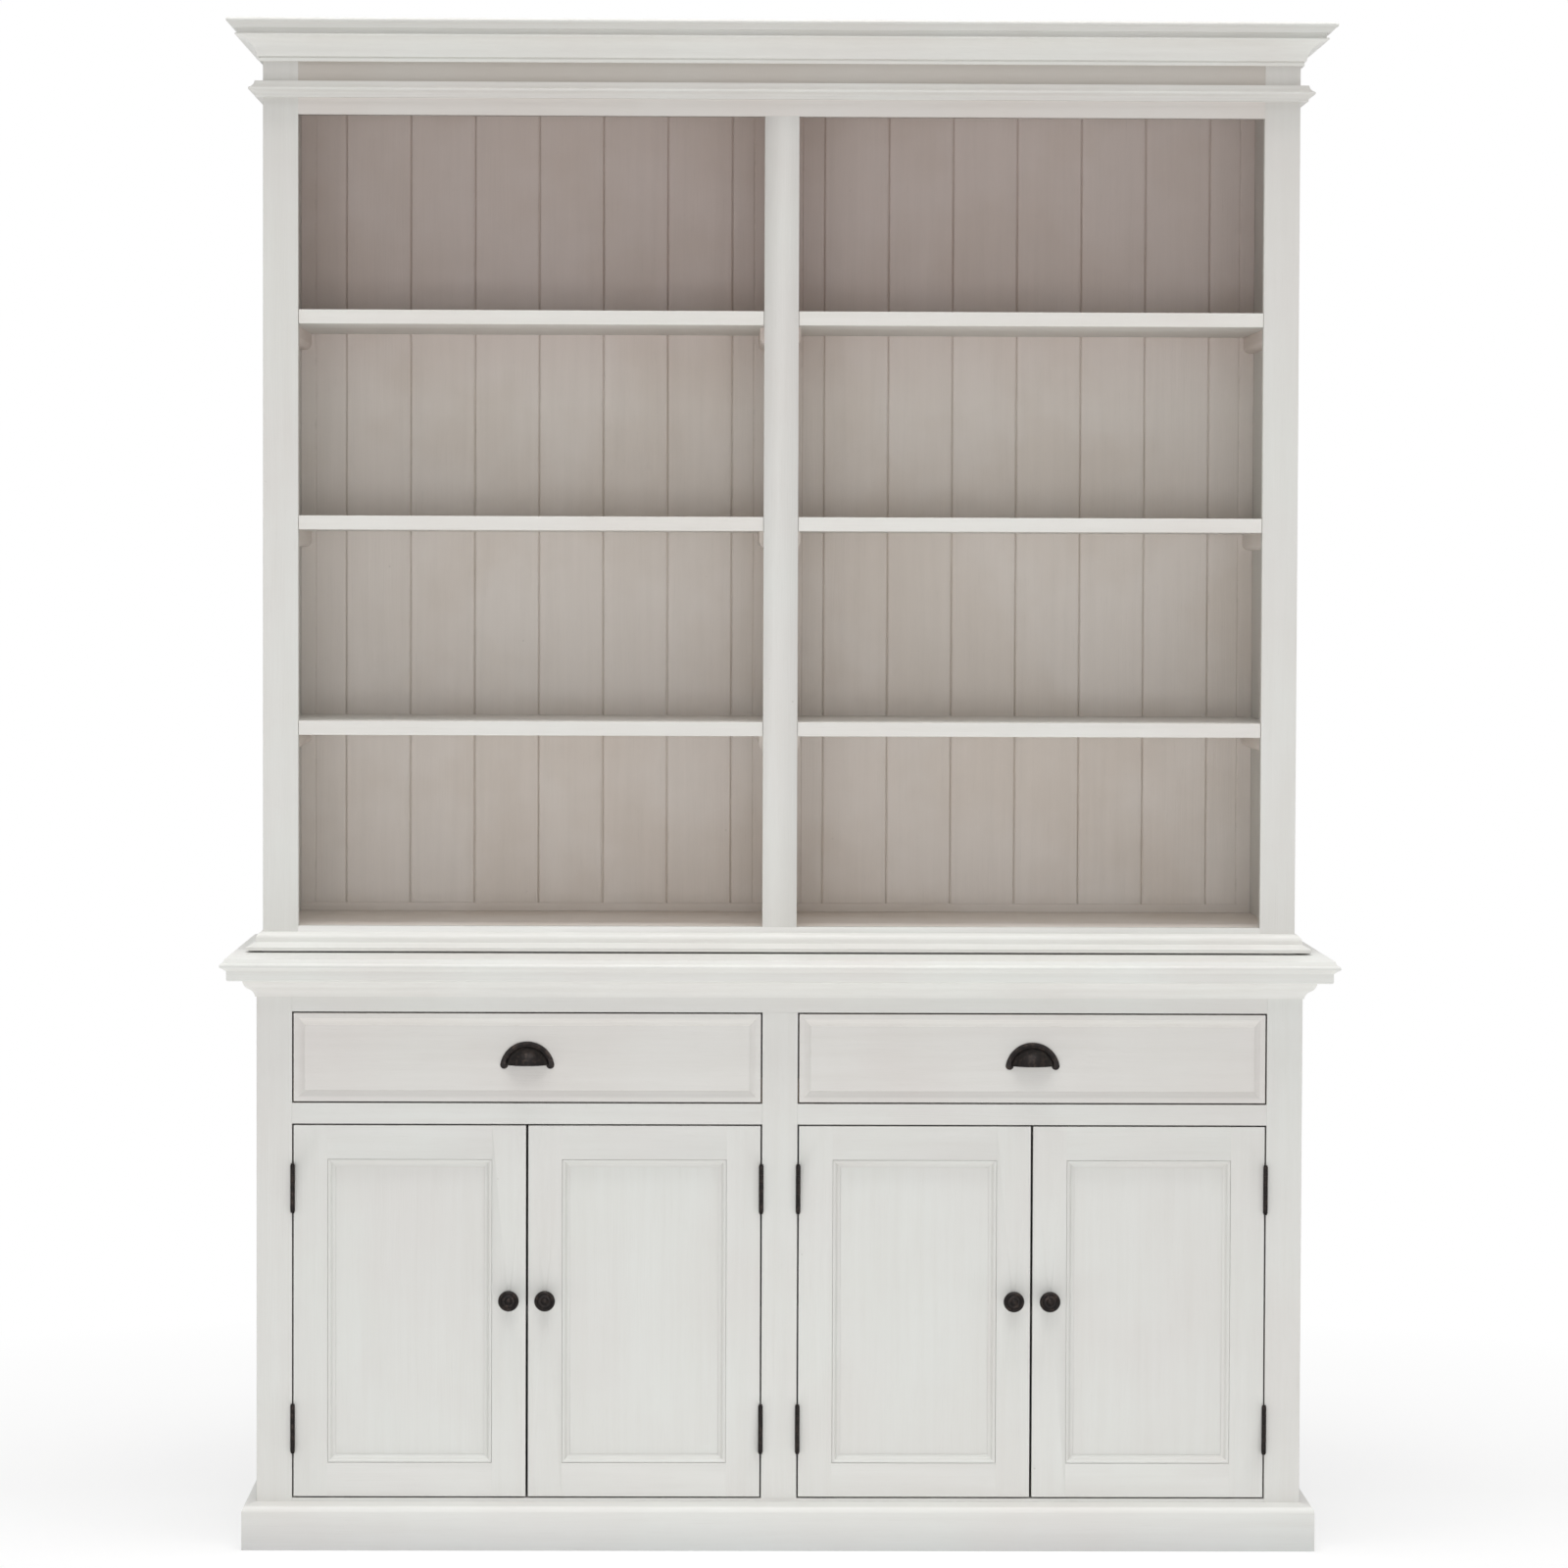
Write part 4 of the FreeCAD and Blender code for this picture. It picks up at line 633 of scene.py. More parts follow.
class Finishes:
    """The finishes of this cabinet, each material built when first asked for."""

    # Outside paint: painted shade darkens it from 1 m to the top.
    PAINT = Paint("white_paint", Slot.PAINT)
    # Drawer fronts: a painted highlight on coves that look up and painted shade on coves that look
    # down.
    DRAWERS = Paint(
        "white_paint_drawers",
        Slot.PAINT,
        colour=(0.765, 0.750, 0.719, 1.0),
        warm=(0.750, 0.720, 0.692, 1.0),
        upward=1.20,
        downward=0.86,
    )
    # Inside of the hutch: lighter and warmer than the outside paint, painted light that stands in
    # for light bounced about inside, with painted shade over the top bay.
    BOARDS = Paint(
        "white_paint_inside",
        Slot.PAINT,
        colour=(0.880, 0.822, 0.772, 1.0),
        warm=(0.866, 0.800, 0.746, 1.0),
        wear=0.35,
        streaks=0.09,
        shade=Shade(1.50, 1.66, (0.87, 0.81, 0.81, 1.0)),
        patches=0.7,
    )
    # Shelves: a little lighter than the outside paint, painted light for their brightly lit
    # fronts, with a faint painted shade towards the top.
    SHELVES = Paint(
        "white_paint_shelves",
        Slot.PAINT,
        colour=(0.795, 0.785, 0.750, 1.0),
        warm=(0.780, 0.755, 0.720, 1.0),
        shade=Shade(1.0, 2.0, (0.98, 0.97, 0.96, 1.0)),
    )
    # Frieze and top rail: darker and warmer than the outside paint, partly their own tone and
    # partly painted shade under the cornice; above the astragal the frieze gets more painted
    # shade.
    FRIEZE = Paint(
        "white_paint_frieze",
        Slot.PAINT,
        colour=(0.706, 0.674, 0.639, 1.0),
        warm=(0.690, 0.643, 0.605, 1.0),
        shade=Shade(1.900, 1.905, (0.80, 0.785, 0.76, 1.0)),
    )
    # Cornice: lighter than the outside paint, painted light for its cove, with painted shade on
    # the top fillet.
    CORNICE = Paint(
        "white_paint_cornice",
        Slot.PAINT,
        colour=(0.857, 0.860, 0.822, 1.0),
        warm=(0.840, 0.825, 0.790, 1.0),
        shade=Shade(1.9705, 1.9745, (0.86, 0.86, 0.86, 1.0)),
    )
    # Plinth: lighter than the outside paint, with painted shade towards the floor and a painted
    # highlight on its slope that looks up.
    PLINTH = Paint(
        "white_paint_plinth",
        Slot.PAINT,
        colour=(0.810, 0.816, 0.783, 1.0),
        warm=(0.794, 0.782, 0.753, 1.0),
        shade=Shade(0.058, 0.0, (0.80, 0.81, 0.83, 1.0)),
        upward=1.07,
    )
    # Counter, counter moulding, astragal and foot moulding: lighter than the outside paint,
    # painted light for how brightly they are lit.
    COUNTER = Paint(
        "white_paint_counter",
        Slot.PAINT,
        colour=(0.825, 0.830, 0.797, 1.0),
        warm=(0.810, 0.797, 0.767, 1.0),
    )
    # Top board: painted shade darkens it at the top.
    TOP = Paint("white_paint_top", Slot.PAINT, shade=Shade(1.95, 1.97, (0.82, 0.80, 0.77, 1.0)))
    WOOD = BareWood("waxed_softwood", Slot.BARE)
    METAL = DarkMetal("dark_bronze", Slot.METAL)
    built: dict[str, Any] = {}

    @classmethod
    def of(cls, finish: Finish) -> Any:
        """Gives the material of a finish.

        Args:
            finish: the finish.

        Returns:
            The material.
        """
        if finish.name not in cls.built:
            cls.built[finish.name] = finish.material()
        return cls.built[finish.name]


# Meshes, boxes and pieces


def mesh_data(name: str, shape: bmesh.types.BMesh) -> Any:
    """Turns a shape into mesh data and frees it.

    Args:
        name: the data's name.
        shape: the shape.

    Returns:
        The mesh data.
    """
    data = bpy.data.meshes.new(name)
    shape.to_mesh(data)
    shape.free()
    return data


def placed(name: str, data: Any) -> Any:
    """Puts a mesh, a lamp or a camera into the scene.

    Args:
        name: the object's name.
        data: what it shows.

    Returns:
        The object.
    """
    item = bpy.data.objects.new(name, data)
    bpy.context.scene.collection.objects.link(item)
    return item


def added(whole: bmesh.types.BMesh, part: bmesh.types.BMesh, matrix: Matrix | None = None) -> None:
    """Adds a shape to another and frees it.

    Args:
        whole: the shape that grows.
        part: the shape that is added.
        matrix: where the part goes, if it isn't there yet.
    """
    if matrix is not None:
        bmesh.ops.transform(part, matrix=matrix, verts=part.verts[:])
    data = mesh_data("part", part)
    whole.from_mesh(data)
    bpy.data.meshes.remove(data)


def bevelled(
    mesh: bmesh.types.BMesh,
    items: Sequence[Any],
    offset: float,
    segments: int,
    affect: str = "EDGES",
) -> list[Any]:
    """Rounds edges or corners.

    Args:
        mesh: the shape.
        items: its edges or corners.
        offset: how wide the rounding is.
        segments: how many facets it has.
        affect: EDGES or VERTICES.

    Returns:
        The new faces.
    """
    made = bmesh.ops.bevel(
        mesh,
        geom=items,
        offset=offset,
        offset_type="OFFSET",
        affect=affect,
        segments=segments,
        profile=0.5,
        clamp_overlap=True,
        material=-1,
    )
    return made["faces"]


def spot(place: Vector) -> tuple[int, ...]:
    """Gives a place in whole micrometres, which are the same for corners that meet."""
    return tuple(round(part * MICROMETRES) for part in place)


def shells_of(source: Any) -> list[list[tuple[int, ...]]]:
    """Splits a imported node's loose triangles into its closed solids.

    Args:
        source: the node's object.

    Returns:
        For each solid, its triangles as vertex numbers.
    """
    mesh = source.data
    spots = [spot(vertex.co) for vertex in mesh.vertices]
    shells: list[list[tuple[int, ...]]] = []
    current: list[tuple[int, ...]] = []
    unpaired: set[tuple[Any, Any]] = set()
    for polygon in mesh.polygons:
        corners = tuple(polygon.vertices)
        current.append(corners)
        keys = [spots[number] for number in corners]
        for first, second in zip(keys, keys[1:] + keys[:1]):
            if (second, first) in unpaired:
                unpaired.remove((second, first))
            else:
                unpaired.add((first, second))
        if not unpaired:
            shells.append(current)
            current = []
    if current:
        shells.append(current)
    return shells


@dataclass
class Extent:
    """A box round one solid or more."""

    low: Vector
    high: Vector
    slack: float = 0.05 * MM

    def middle(self, axis: int) -> float:
        """Gives where the middle lies on an axis, 0 to 2."""
        return (self.low[axis] + self.high[axis]) / 2

    def holds(self, point: Vector) -> bool:
        """Whether a point lies in the box, or outside it by no more than the slack."""
        return all(
            self.low[axis] - self.slack <= point[axis] <= self.high[axis] + self.slack
            for axis in range(3)
        )

    def sides_with(self, points: Sequence[Vector]) -> int:
        """Counts the sides of the box that all of some points lie on."""
        sides = [(axis, corner[axis]) for axis in range(3) for corner in (self.low, self.high)]
        return sum(
            all(abs(point[axis] - side) < self.slack for point in points) for axis, side in sides
        )


def extent_of(points: Iterable[Vector]) -> Extent:
    """Gives the box round some points.

    Args:
        points: the points.

    Returns:
        The box.
    """
    listed = list(points)
    low = Vector(min(point[axis] for point in listed) for axis in range(3))
    high = Vector(max(point[axis] for point in listed) for axis in range(3))
    return Extent(low, high)


def node_extent(frame: dict[str, Any], node: str) -> Extent:
    """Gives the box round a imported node, by its name in the frame."""
    return extent_of(vertex.co for vertex in frame["nodes"][node].data.vertices)


def finished_piece(
    name: str,
    mesh: bmesh.types.BMesh,
    body: str,
    finish: Finish,
    node: str = "",
    steady: bool = False,
) -> Any:
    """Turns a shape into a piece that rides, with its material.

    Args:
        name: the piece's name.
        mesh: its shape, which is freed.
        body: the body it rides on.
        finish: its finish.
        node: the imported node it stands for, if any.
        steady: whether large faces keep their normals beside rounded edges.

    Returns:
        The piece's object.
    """
    data = mesh_data(name, mesh)
    data.materials.append(Finishes.of(finish))
    piece = placed(name, data)
    if steady:
        weigh = piece.modifiers.new("steady_normals", "WEIGHTED_NORMAL")
        weigh.mode = "FACE_AREA"
        weigh.weight = 50
    if node:
        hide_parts(node)
    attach(piece, body)
    LOG.info("%s: %d faces", name, len(data.polygons))
    return piece


# Boards


@dataclass(frozen=True)
class Edges:
    """How a board's sharp edges are rounded.

    Width is how wide the rounding is, and joint how wide it is along joints, where they show.
    Sharp is the least angle of an edge that is rounded, in degrees. An edge shorter than
    shortest times the width stays as it is.
    """

    width: float
    rounding: Rounding = Rounding.FREE
    sharp: float = 30.0
    joint: float = 0.0
    segments: int = 2
    shortest: float = 2.5


@dataclass
class BoardDresser:
    """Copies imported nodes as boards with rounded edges, grain coordinates and worn corners."""

    frame: dict[str, Any]
    seed: int = 7
    grain_shift: float = 20.0
    flatness: float = 0.6
    shapes: dict[str, list[Extent]] = field(default_factory=dict)
    count: int = 0

    def extents(self, node: str) -> list[Extent]:
        """Gives the boxes of a node's solids.

        Args:
            node: the node's name.

        Returns:
            One box for each solid.
        """
        if node not in self.shapes:
            source = self.frame["nodes"][node]
            vertices = source.data.vertices
            self.shapes[node] = [
                extent_of(vertices[number].co for corners in shell for number in corners)
                for shell in shells_of(source)
            ]
        return self.shapes[node]

    def solid(self, source: Any, shell: list[tuple[int, ...]]) -> bmesh.types.BMesh:
        """Makes one solid with shared corners and whole flat faces.

        Args:
            source: the node's object.
            shell: the solid's triangles.

        Returns:
            The solid.
        """
        mesh = bmesh.new()
        found: dict[tuple[int, ...], Any] = {}
        for corners in shell:
            face = []
            for number in corners:
                place = source.data.vertices[number].co
                key = spot(place)
                if key not in found:
                    found[key] = mesh.verts.new(place)
                face.append(found[key])
            if len(set(face)) == len(face):
                mesh.faces.new(face)
        bmesh.ops.dissolve_limit(
            mesh,
            angle_limit=math.radians(self.flatness),
            use_dissolve_boundaries=False,
            verts=mesh.verts[:],
            edges=mesh.edges[:],
        )
        mesh.normal_update()
        return mesh

    def sharp_edges(
        self, mesh: bmesh.types.BMesh, outline: Extent, others: Sequence[Extent], edges: Edges
    ) -> tuple[list[Any], list[Any]]:
        """Finds the edges of a solid that are rounded.

        Args:
            mesh: the solid.
            outline: the box of its whole node.
            others: boxes of the solids that it is joined to.
            edges: how its edges are rounded.

        Returns:
            The edges along joints, and the free ones.
        """
        joints = []
        free = []
        for edge in mesh.edges:
            if len(edge.link_faces) != 2:
                continue
            if edge.calc_face_angle(0.0) < math.radians(edges.sharp):
                continue
            if edge.calc_length() < edges.width * edges.shortest:
                continue
            ends = [vertex.co for vertex in edge.verts]
            if any(all(other.holds(end) for end in ends) for other in others):
                joints.append(edge)
            elif edges.rounding is Rounding.FREE or outline.sides_with(ends) >= 2:
                free.append(edge)
        return joints, free

    def rounded(
        self, mesh: bmesh.types.BMesh, outline: Extent, others: Sequence[Extent], edges: Edges
    ) -> None:
        """Rounds a solid's sharp edges and marks them.

        Args:
            mesh: the solid.
            outline: the box of its whole node.
            others: boxes of the solids that it is joined to.
            edges: how its edges are rounded.
        """
        mark = mesh.loops.layers.float.new("edge")
        if edges.rounding is Rounding.NONE:
            return
        joints, free = self.sharp_edges(mesh, outline, others, edges)
        for group, offset in ((joints, edges.joint), (free, edges.width)):
            sound = [edge for edge in group if edge.is_valid]
            if not sound or offset <= 0.0:
                continue
            for face in bevelled(mesh, sound, offset, edges.segments):
                for loop in face.loops:
                    loop[mark] = 1.0

    def grained(self, mesh: bmesh.types.BMesh, extent: Extent) -> None:
        """Gives a solid coordinates that run along its longest side, at a place of their own.

        Args:
            mesh: the solid.
            extent: its box.
        """
        layer = mesh.verts.layers.float_vector.new("board")
        sizes = extent.high - extent.low
        order = sorted(range(3), key=lambda axis: -sizes[axis])
        pick = random.Random(self.seed + self.count)
        self.count += 1
        shift = Vector([pick.uniform(-self.grain_shift, self.grain_shift) for _ in range(3)])
        for vertex in mesh.verts:
            vertex[layer] = Vector([vertex.co[axis] for axis in order]) + shift

    def marked(self, mesh: bmesh.types.BMesh) -> None:
        """Marks on each face of a solid how far it looks up, from -1 to 1.

        Args:
            mesh: the solid.
        """
        mesh.normal_update()
        layer = mesh.faces.layers.float.new("slope")
        for face in mesh.faces:
            face[layer] = face.normal.z

    def dress(
        self, node: str, body: str, finish: Finish, edges: Edges, joined: Sequence[str] = ()
    ) -> None:
        """Makes the finished copy of a node and lets it stand for the node.

        Args:
            node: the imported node.
            body: the body it rides on.
            finish: its finish.
            edges: how its edges are rounded.
            joined: further nodes that it is joined to without a visible edge.
        """
        source = self.frame["nodes"][node]
        boxes = self.extents(node)
        outline = extent_of(corner for box in boxes for corner in (box.low, box.high))
        near = [box for name in joined for box in self.extents(name)]
        whole = bmesh.new()
        for number, shell in enumerate(shells_of(source)):
            others = [box for index, box in enumerate(boxes) if index != number] + near
            solid = self.solid(source, shell)
            self.rounded(solid, outline, others, edges)
            self.grained(solid, boxes[number])
            self.marked(solid)
            added(whole, solid)
        for face in whole.faces:
            face.smooth = True
        finished_piece(f"{node}_dressed", whole, body, finish, node, steady=True)


# Turned and small metal shapes


@dataclass(frozen=True)
class Arc:
    """A bend in a profile.

    The bulge is how far its middle stands off the straight line, to its left if positive, and
    the steps are how many stretches it has.
    """

    bulge: float
    steps: int


@dataclass
class Outline:
    """A profile of (radius, height) points, drawn from one end to the other."""

    points: list[Pair]

    def to(self, *points: Pair) -> None:
        """Goes straight from point to point."""
        self.points.extend(points)

    def bend(self, end: Pair, arc: Arc) -> None:
        """Goes to a point along an arc.

        Args:
            end: where the arc ends.
            arc: how it bends.
        """
        first, last = Vector(self.points[-1]), Vector(end)
        chord = (last - first).length
        along = (last - first) / chord
        aside = Vector((-along.y, along.x)) * math.copysign(1.0, arc.bulge)
        rise = abs(arc.bulge)
        radius = (chord**2 / 4 + rise**2) / (2 * rise)
        half = math.asin(min(1.0, chord / (2 * radius)))
        middle = (first + last) / 2
        for step in range(1, arc.steps + 1):
            angle = -half + 2 * half * step / arc.steps
            offset = radius * math.cos(angle) - radius + rise
            point = middle + along * radius * math.sin(angle) + aside * offset
            self.points.append((point.x, point.y))

    def turned(self, steps: int = 48) -> bmesh.types.BMesh:
        """Spins the profile about the Z axis.

        Args:
            steps: how many stretches the turn has.

        Returns:
            The shape.
        """
        mesh = bmesh.new()
        corners = [mesh.verts.new((radius, 0.0, height)) for radius, height in self.points]
        edges = [mesh.edges.new(pair) for pair in zip(corners, corners[1:])]
        bmesh.ops.spin(
            mesh,
            geom=corners + edges,
            cent=(0.0, 0.0, 0.0),
            axis=(0.0, 0.0, 1.0),
            angle=math.tau,
            steps=steps,
            use_merge=True,
            use_duplicate=False,
        )
        bmesh.ops.remove_doubles(mesh, verts=mesh.verts[:], dist=1.0 / MICROMETRES)
        bmesh.ops.recalc_face_normals(mesh, faces=mesh.faces[:])
        for face in mesh.faces:
            face.smooth = True
        return mesh


def facing(place: Sequence[float], out: Sequence[float], turn: float = 0.0) -> Matrix:
    """Gives the matrix that stands a shape built along Z at a place, turned in radians."""
    lean = Vector(out).to_track_quat("Z", "Y").to_matrix().to_4x4()
    return Matrix.Translation(Vector(place)) @ lean @ Matrix.Rotation(turn, 4, "Z")


def raised(mesh: bmesh.types.BMesh, flat: Any, rise: float) -> list[Any]:
    """Extrudes a flat face up into a closed solid.

    Args:
        mesh: the shape that holds the face.
        flat: the face, which stays as the solid's foot.
        rise: how high the solid is.

    Returns:
        The corners of the solid's top.
    """
    made = bmesh.ops.extrude_face_region(mesh, geom=[flat], use_keep_orig=True)
    top = [item for item in made["geom"] if isinstance(item, bmesh.types.BMVert)]
    bmesh.ops.translate(mesh, vec=(0.0, 0.0, rise), verts=top)
    return top


@dataclass(frozen=True)
class Plate:
    """A flat plate with round corners and a soft upper rim."""

    width: float
    height: float
    thickness: float
    corner: float
    soft: float

    def shape(self) -> bmesh.types.BMesh:
        """Builds the plate on Z = 0.

        Returns:
            The shape.
        """
        mesh = bmesh.new()
        bmesh.ops.create_grid(mesh, x_segments=1, y_segments=1, size=0.5)
        bmesh.ops.scale(mesh, vec=(self.width, self.height, 1.0), verts=mesh.verts[:])
        bevelled(mesh, mesh.verts[:], self.corner, 4, "VERTICES")
        top = set(raised(mesh, mesh.faces[:][0], self.thickness))
        rim = [edge for edge in mesh.edges if top.issuperset(edge.verts)]
        bevelled(mesh, rim, self.soft, 2)
        bmesh.ops.recalc_face_normals(mesh, faces=mesh.faces[:])
        return mesh


@dataclass(frozen=True)
class ScrewHead:
    """A domed screw head with one slot or a cross."""

    radius: float
    height: float
    slots: int = 1
    slot_share: float = 0.16
    floor_share: float = 0.45
    rim_share: float = 0.55
    overlap_share: float = 0.9
    sides: int = 7

    def sector(self, index: int) -> list[Vector]:
        """Gives the outline of the head between two slot walls.

        Args:
            index: which part of the head, counted round.

        Returns:
            The outline's corners.
        """
        half = self.radius * self.slot_share
        spread = math.asin(half / self.radius)
        start = index * math.pi / self.slots
        sweep = math.pi / self.slots
        points = []
        for step in range(self.sides + 1):
            angle = start + spread + (sweep - 2 * spread) * step / self.sides
            points.append(Vector((math.cos(angle), math.sin(angle))) * self.radius)
        if self.slots > 1:
            reach = half / math.sin(sweep / 2)
            middle = start + sweep / 2
            points.append(Vector((math.cos(middle), math.sin(middle))) * reach)
        return points

    def shape(self) -> bmesh.types.BMesh:
        """Builds the head on Z = 0.

        Returns:
            The shape.
        """
        mesh = bmesh.new()
        floor = self.height * self.floor_share
        foot = floor * self.overlap_share
        round_off = (self.height - floor) * (1.0 - self.rim_share)
        segments = 4 * self.sides
        bmesh.ops.create_circle(mesh, cap_ends=True, segments=segments, radius=self.radius)
        raised(mesh, mesh.faces[:][0], floor)
        for index in range(2 * self.slots):
            corners = [mesh.verts.new((*point, foot)) for point in self.sector(index)]
            for corner in raised(mesh, mesh.faces.new(corners), self.height - foot):
                share = corner.co.xy.length_squared / self.radius**2
                corner.co.z -= round_off * share
        bmesh.ops.recalc_face_normals(mesh, faces=mesh.faces[:])
        return mesh

    def add_to(
        self, whole: bmesh.types.BMesh, place: Sequence[float], out: Sequence[float], turn: float
    ) -> None:
        """Adds a head to a shape: its foot at a place, facing out, turned in radians."""
        added(whole, self.shape(), facing(place, out, turn))


# The cabinet's own pieces


@dataclass
class Carcass:
    """Everything that stands still and is made of wood."""

    dresser: BoardDresser
    board: Edges = Edges(0.5 * MM)
    hutch_board: Edges = Edges(0.5 * MM, joint=0.16 * MM)
    moulding: Edges = Edges(0.25 * MM, sharp=35.0)
    base_frame: tuple[str, ...] = (
        "base_stiles",
        "base_top_rail",
        "base_middle_rails",
        "base_bottom_rail",
    )
    hutch_frame: tuple[str, ...] = ("hutch_stiles", "hutch_top_rail", "hutch_bottom_rail")

    def plan(self) -> list[tuple[Finish, Edges, tuple[str, ...]]]:
        """Lists what is dressed after the face frames, in order.

        Returns:
            A finish, the rounding of edges and the nodes that have both, for each group.
        """
        painted = (
            "base_side_left",
            "base_side_right",
            "base_partition",
            "base_bottom_board",
            "base_back_panel",
            "cupboard_shelves",
            "cupboard_shelf_cleats",
            "door_catches",
            "hutch_side_left",
            "hutch_side_right",
        )
        inside = (
            "hutch_back_boards_left",
            "hutch_back_boards_right",
            "hutch_back_battens",
            "hutch_shelf_cleats",
            "hutch_partition",
            "hutch_bottom_board",
        )
        return [
            (Finishes.PAINT, self.board, painted),
            (Finishes.BOARDS, self.board, inside),
            (Finishes.TOP, self.board, ("hutch_top_board",)),
            (Finishes.SHELVES, self.board, ("hutch_shelves_left", "hutch_shelves_right")),
            (Finishes.PLINTH, self.moulding, ("plinth",)),
            (Finishes.COUNTER, self.moulding, ("counter_top", "counter_moulding")),
            (Finishes.CORNICE, self.moulding, ("cornice",)),
            (Finishes.COUNTER, self.moulding, ("astragal", "hutch_foot_moulding")),
            (Finishes.WOOD, self.board, ("drawer_runners", "locating_dowels")),
        ]

    def build(self) -> None:
        """Dresses the face frames, the boards, the shelves and the mouldings."""
        for group, edges in ((self.base_frame, self.board), (self.hutch_frame, self.hutch_board)):
            for node in group:
                joined = tuple(other for other in group if other != node)
                finish = Finishes.FRIEZE if node == "hutch_top_rail" else Finishes.PAINT
                self.dresser.dress(node, CABINET, finish, edges, joined)
        for finish, edges, nodes in self.plan():
            for node in nodes:
                self.dresser.dress(node, CABINET, finish, edges)


@dataclass
class Door:
    """One panelled door."""

    number: int
    dresser: BoardDresser
    frame_edges: Edges = Edges(0.6 * MM, Rounding.OUTLINE)
    panel_edges: Edges = Edges(0.6 * MM, Rounding.NONE)

    def build(self) -> None:
        """Dresses the door's frame with its beads, and its panel."""
        body = f"door_{self.number}"
        self.dresser.dress(f"{body}_frame", body, Finishes.PAINT, self.frame_edges)
        self.dresser.dress(f"{body}_panel", body, Finishes.PAINT, self.panel_edges)


@dataclass
class Drawer:
    """One drawer with its front and box."""

    side: Side
    dresser: BoardDresser
    front_edges: Edges = Edges(0.5 * MM, sharp=15.0)
    box_edges: Edges = Edges(0.5 * MM)

    def build(self) -> None:
        """Dresses the drawer's parts."""
        body = f"drawer_{self.side.word}"
        self.dresser.dress(f"{body}_front", body, Finishes.DRAWERS, self.front_edges)
        for part in ("box", "bottom"):
            self.dresser.dress(f"{body}_{part}", body, Finishes.WOOD, self.box_edges)


@dataclass
class Knob:
    """One turned knob with its screw behind the door.

    The rose, neck, back, rim and face are each a radius of the turned profile and how far from
    the door it lies. The boss radii are the two sides of the groove round the boss. The levels
    are how far in front of the face's edge the two sides of each groove lie.
    """

    door: int
    frame: dict[str, Any]
    rose: Pair = (8.0 * MM, 2.0 * MM)
    neck: Pair = (5.0 * MM, 9.5 * MM)
    back: Pair = (12.0 * MM, 16.0 * MM)
    rim: Pair = (13.5 * MM, 19.5 * MM)
    face: Pair = (10.6 * MM, 22.8 * MM)
    soft: float = 0.5 * MM
    fillet: float = 1.2 * MM
    rim_soft: float = 0.3 * MM
    groove_width: float = 1.2 * MM
    groove_levels: Pair = (0.05 * MM, 0.15 * MM)
    boss_radii: Pair = (4.9 * MM, 4.0 * MM)
    boss_levels: Pair = (0.7 * MM, 0.8 * MM)
    tip: float = 25.0 * MM
    rose_edge: Arc = Arc(-0.2 * MM, 3)
    neck_foot: Arc = Arc(0.45 * MM, 4)
    flare: Arc = Arc(1.5 * MM, 10)
    rim_back: Arc = Arc(-0.3 * MM, 4)
    rim_front: Arc = Arc(-0.15 * MM, 3)
    shoulder: Arc = Arc(-0.75 * MM, 7)
    face_groove: Arc = Arc(0.56 * MM, 6)
    ring: Arc = Arc(-0.35 * MM, 5)
    boss_groove: Arc = Arc(0.36 * MM, 5)
    crown: Arc = Arc(-0.35 * MM, 6)
    screw: ScrewHead = ScrewHead(4.0 * MM, 2.4 * MM, slots=2)
    screw_turn: float = 0.4

    def outline(self) -> Outline:
        """Draws the profile from the rose to the tip.

        Returns:
            The outline.
        """
        rose_radius, rose_top = self.rose
        neck_radius, neck_end = self.neck
        rim_radius, rim_end = self.rim
        rim_middle = (self.back[1] + rim_end) / 2
        face_radius, face_reach = self.face
        groove_out = face_radius - self.soft
        groove = [face_reach + level for level in self.groove_levels]
        boss = [face_reach + level for level in self.boss_levels]
        line = Outline([(0.0, 0.0), (rose_radius, 0.0), (rose_radius, rose_top - self.soft)])
        line.bend((rose_radius - self.soft, rose_top), self.rose_edge)
        line.to((neck_radius + self.fillet, rose_top))
        line.bend((neck_radius, rose_top + self.fillet), self.neck_foot)
        line.to((neck_radius, neck_end))
        line.bend(self.back, self.flare)
        line.bend((rim_radius, rim_middle), self.rim_back)
        line.bend((rim_radius - self.rim_soft, rim_end), self.rim_front)
        line.bend(self.face, self.shoulder)
        line.to((groove_out, groove[0]))
        line.bend((groove_out - self.groove_width, groove[1]), self.face_groove)
        line.bend((self.boss_radii[0], boss[0]), self.ring)
        line.bend((self.boss_radii[1], boss[1]), self.boss_groove)
        line.bend((0.0, self.tip), self.crown)
        return line

    def build(self) -> None:
        """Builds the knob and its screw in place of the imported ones."""
        node = f"door_{self.door}_knob"
        box = node_extent(self.frame, node)
        across, level = box.middle(0), box.middle(2)
        whole = self.outline().turned()
        stand = facing((across, box.low.y + self.tip, level), FRONTWARD)
        bmesh.ops.transform(whole, matrix=stand, verts=whole.verts[:])
        rear = (across, box.high.y - self.screw.height, level)
        self.screw.add_to(whole, rear, BACKWARD, self.screw_turn * self.door)
        finished_piece(f"{node}_dressed", whole, f"door_{self.door}", Finishes.METAL, node)


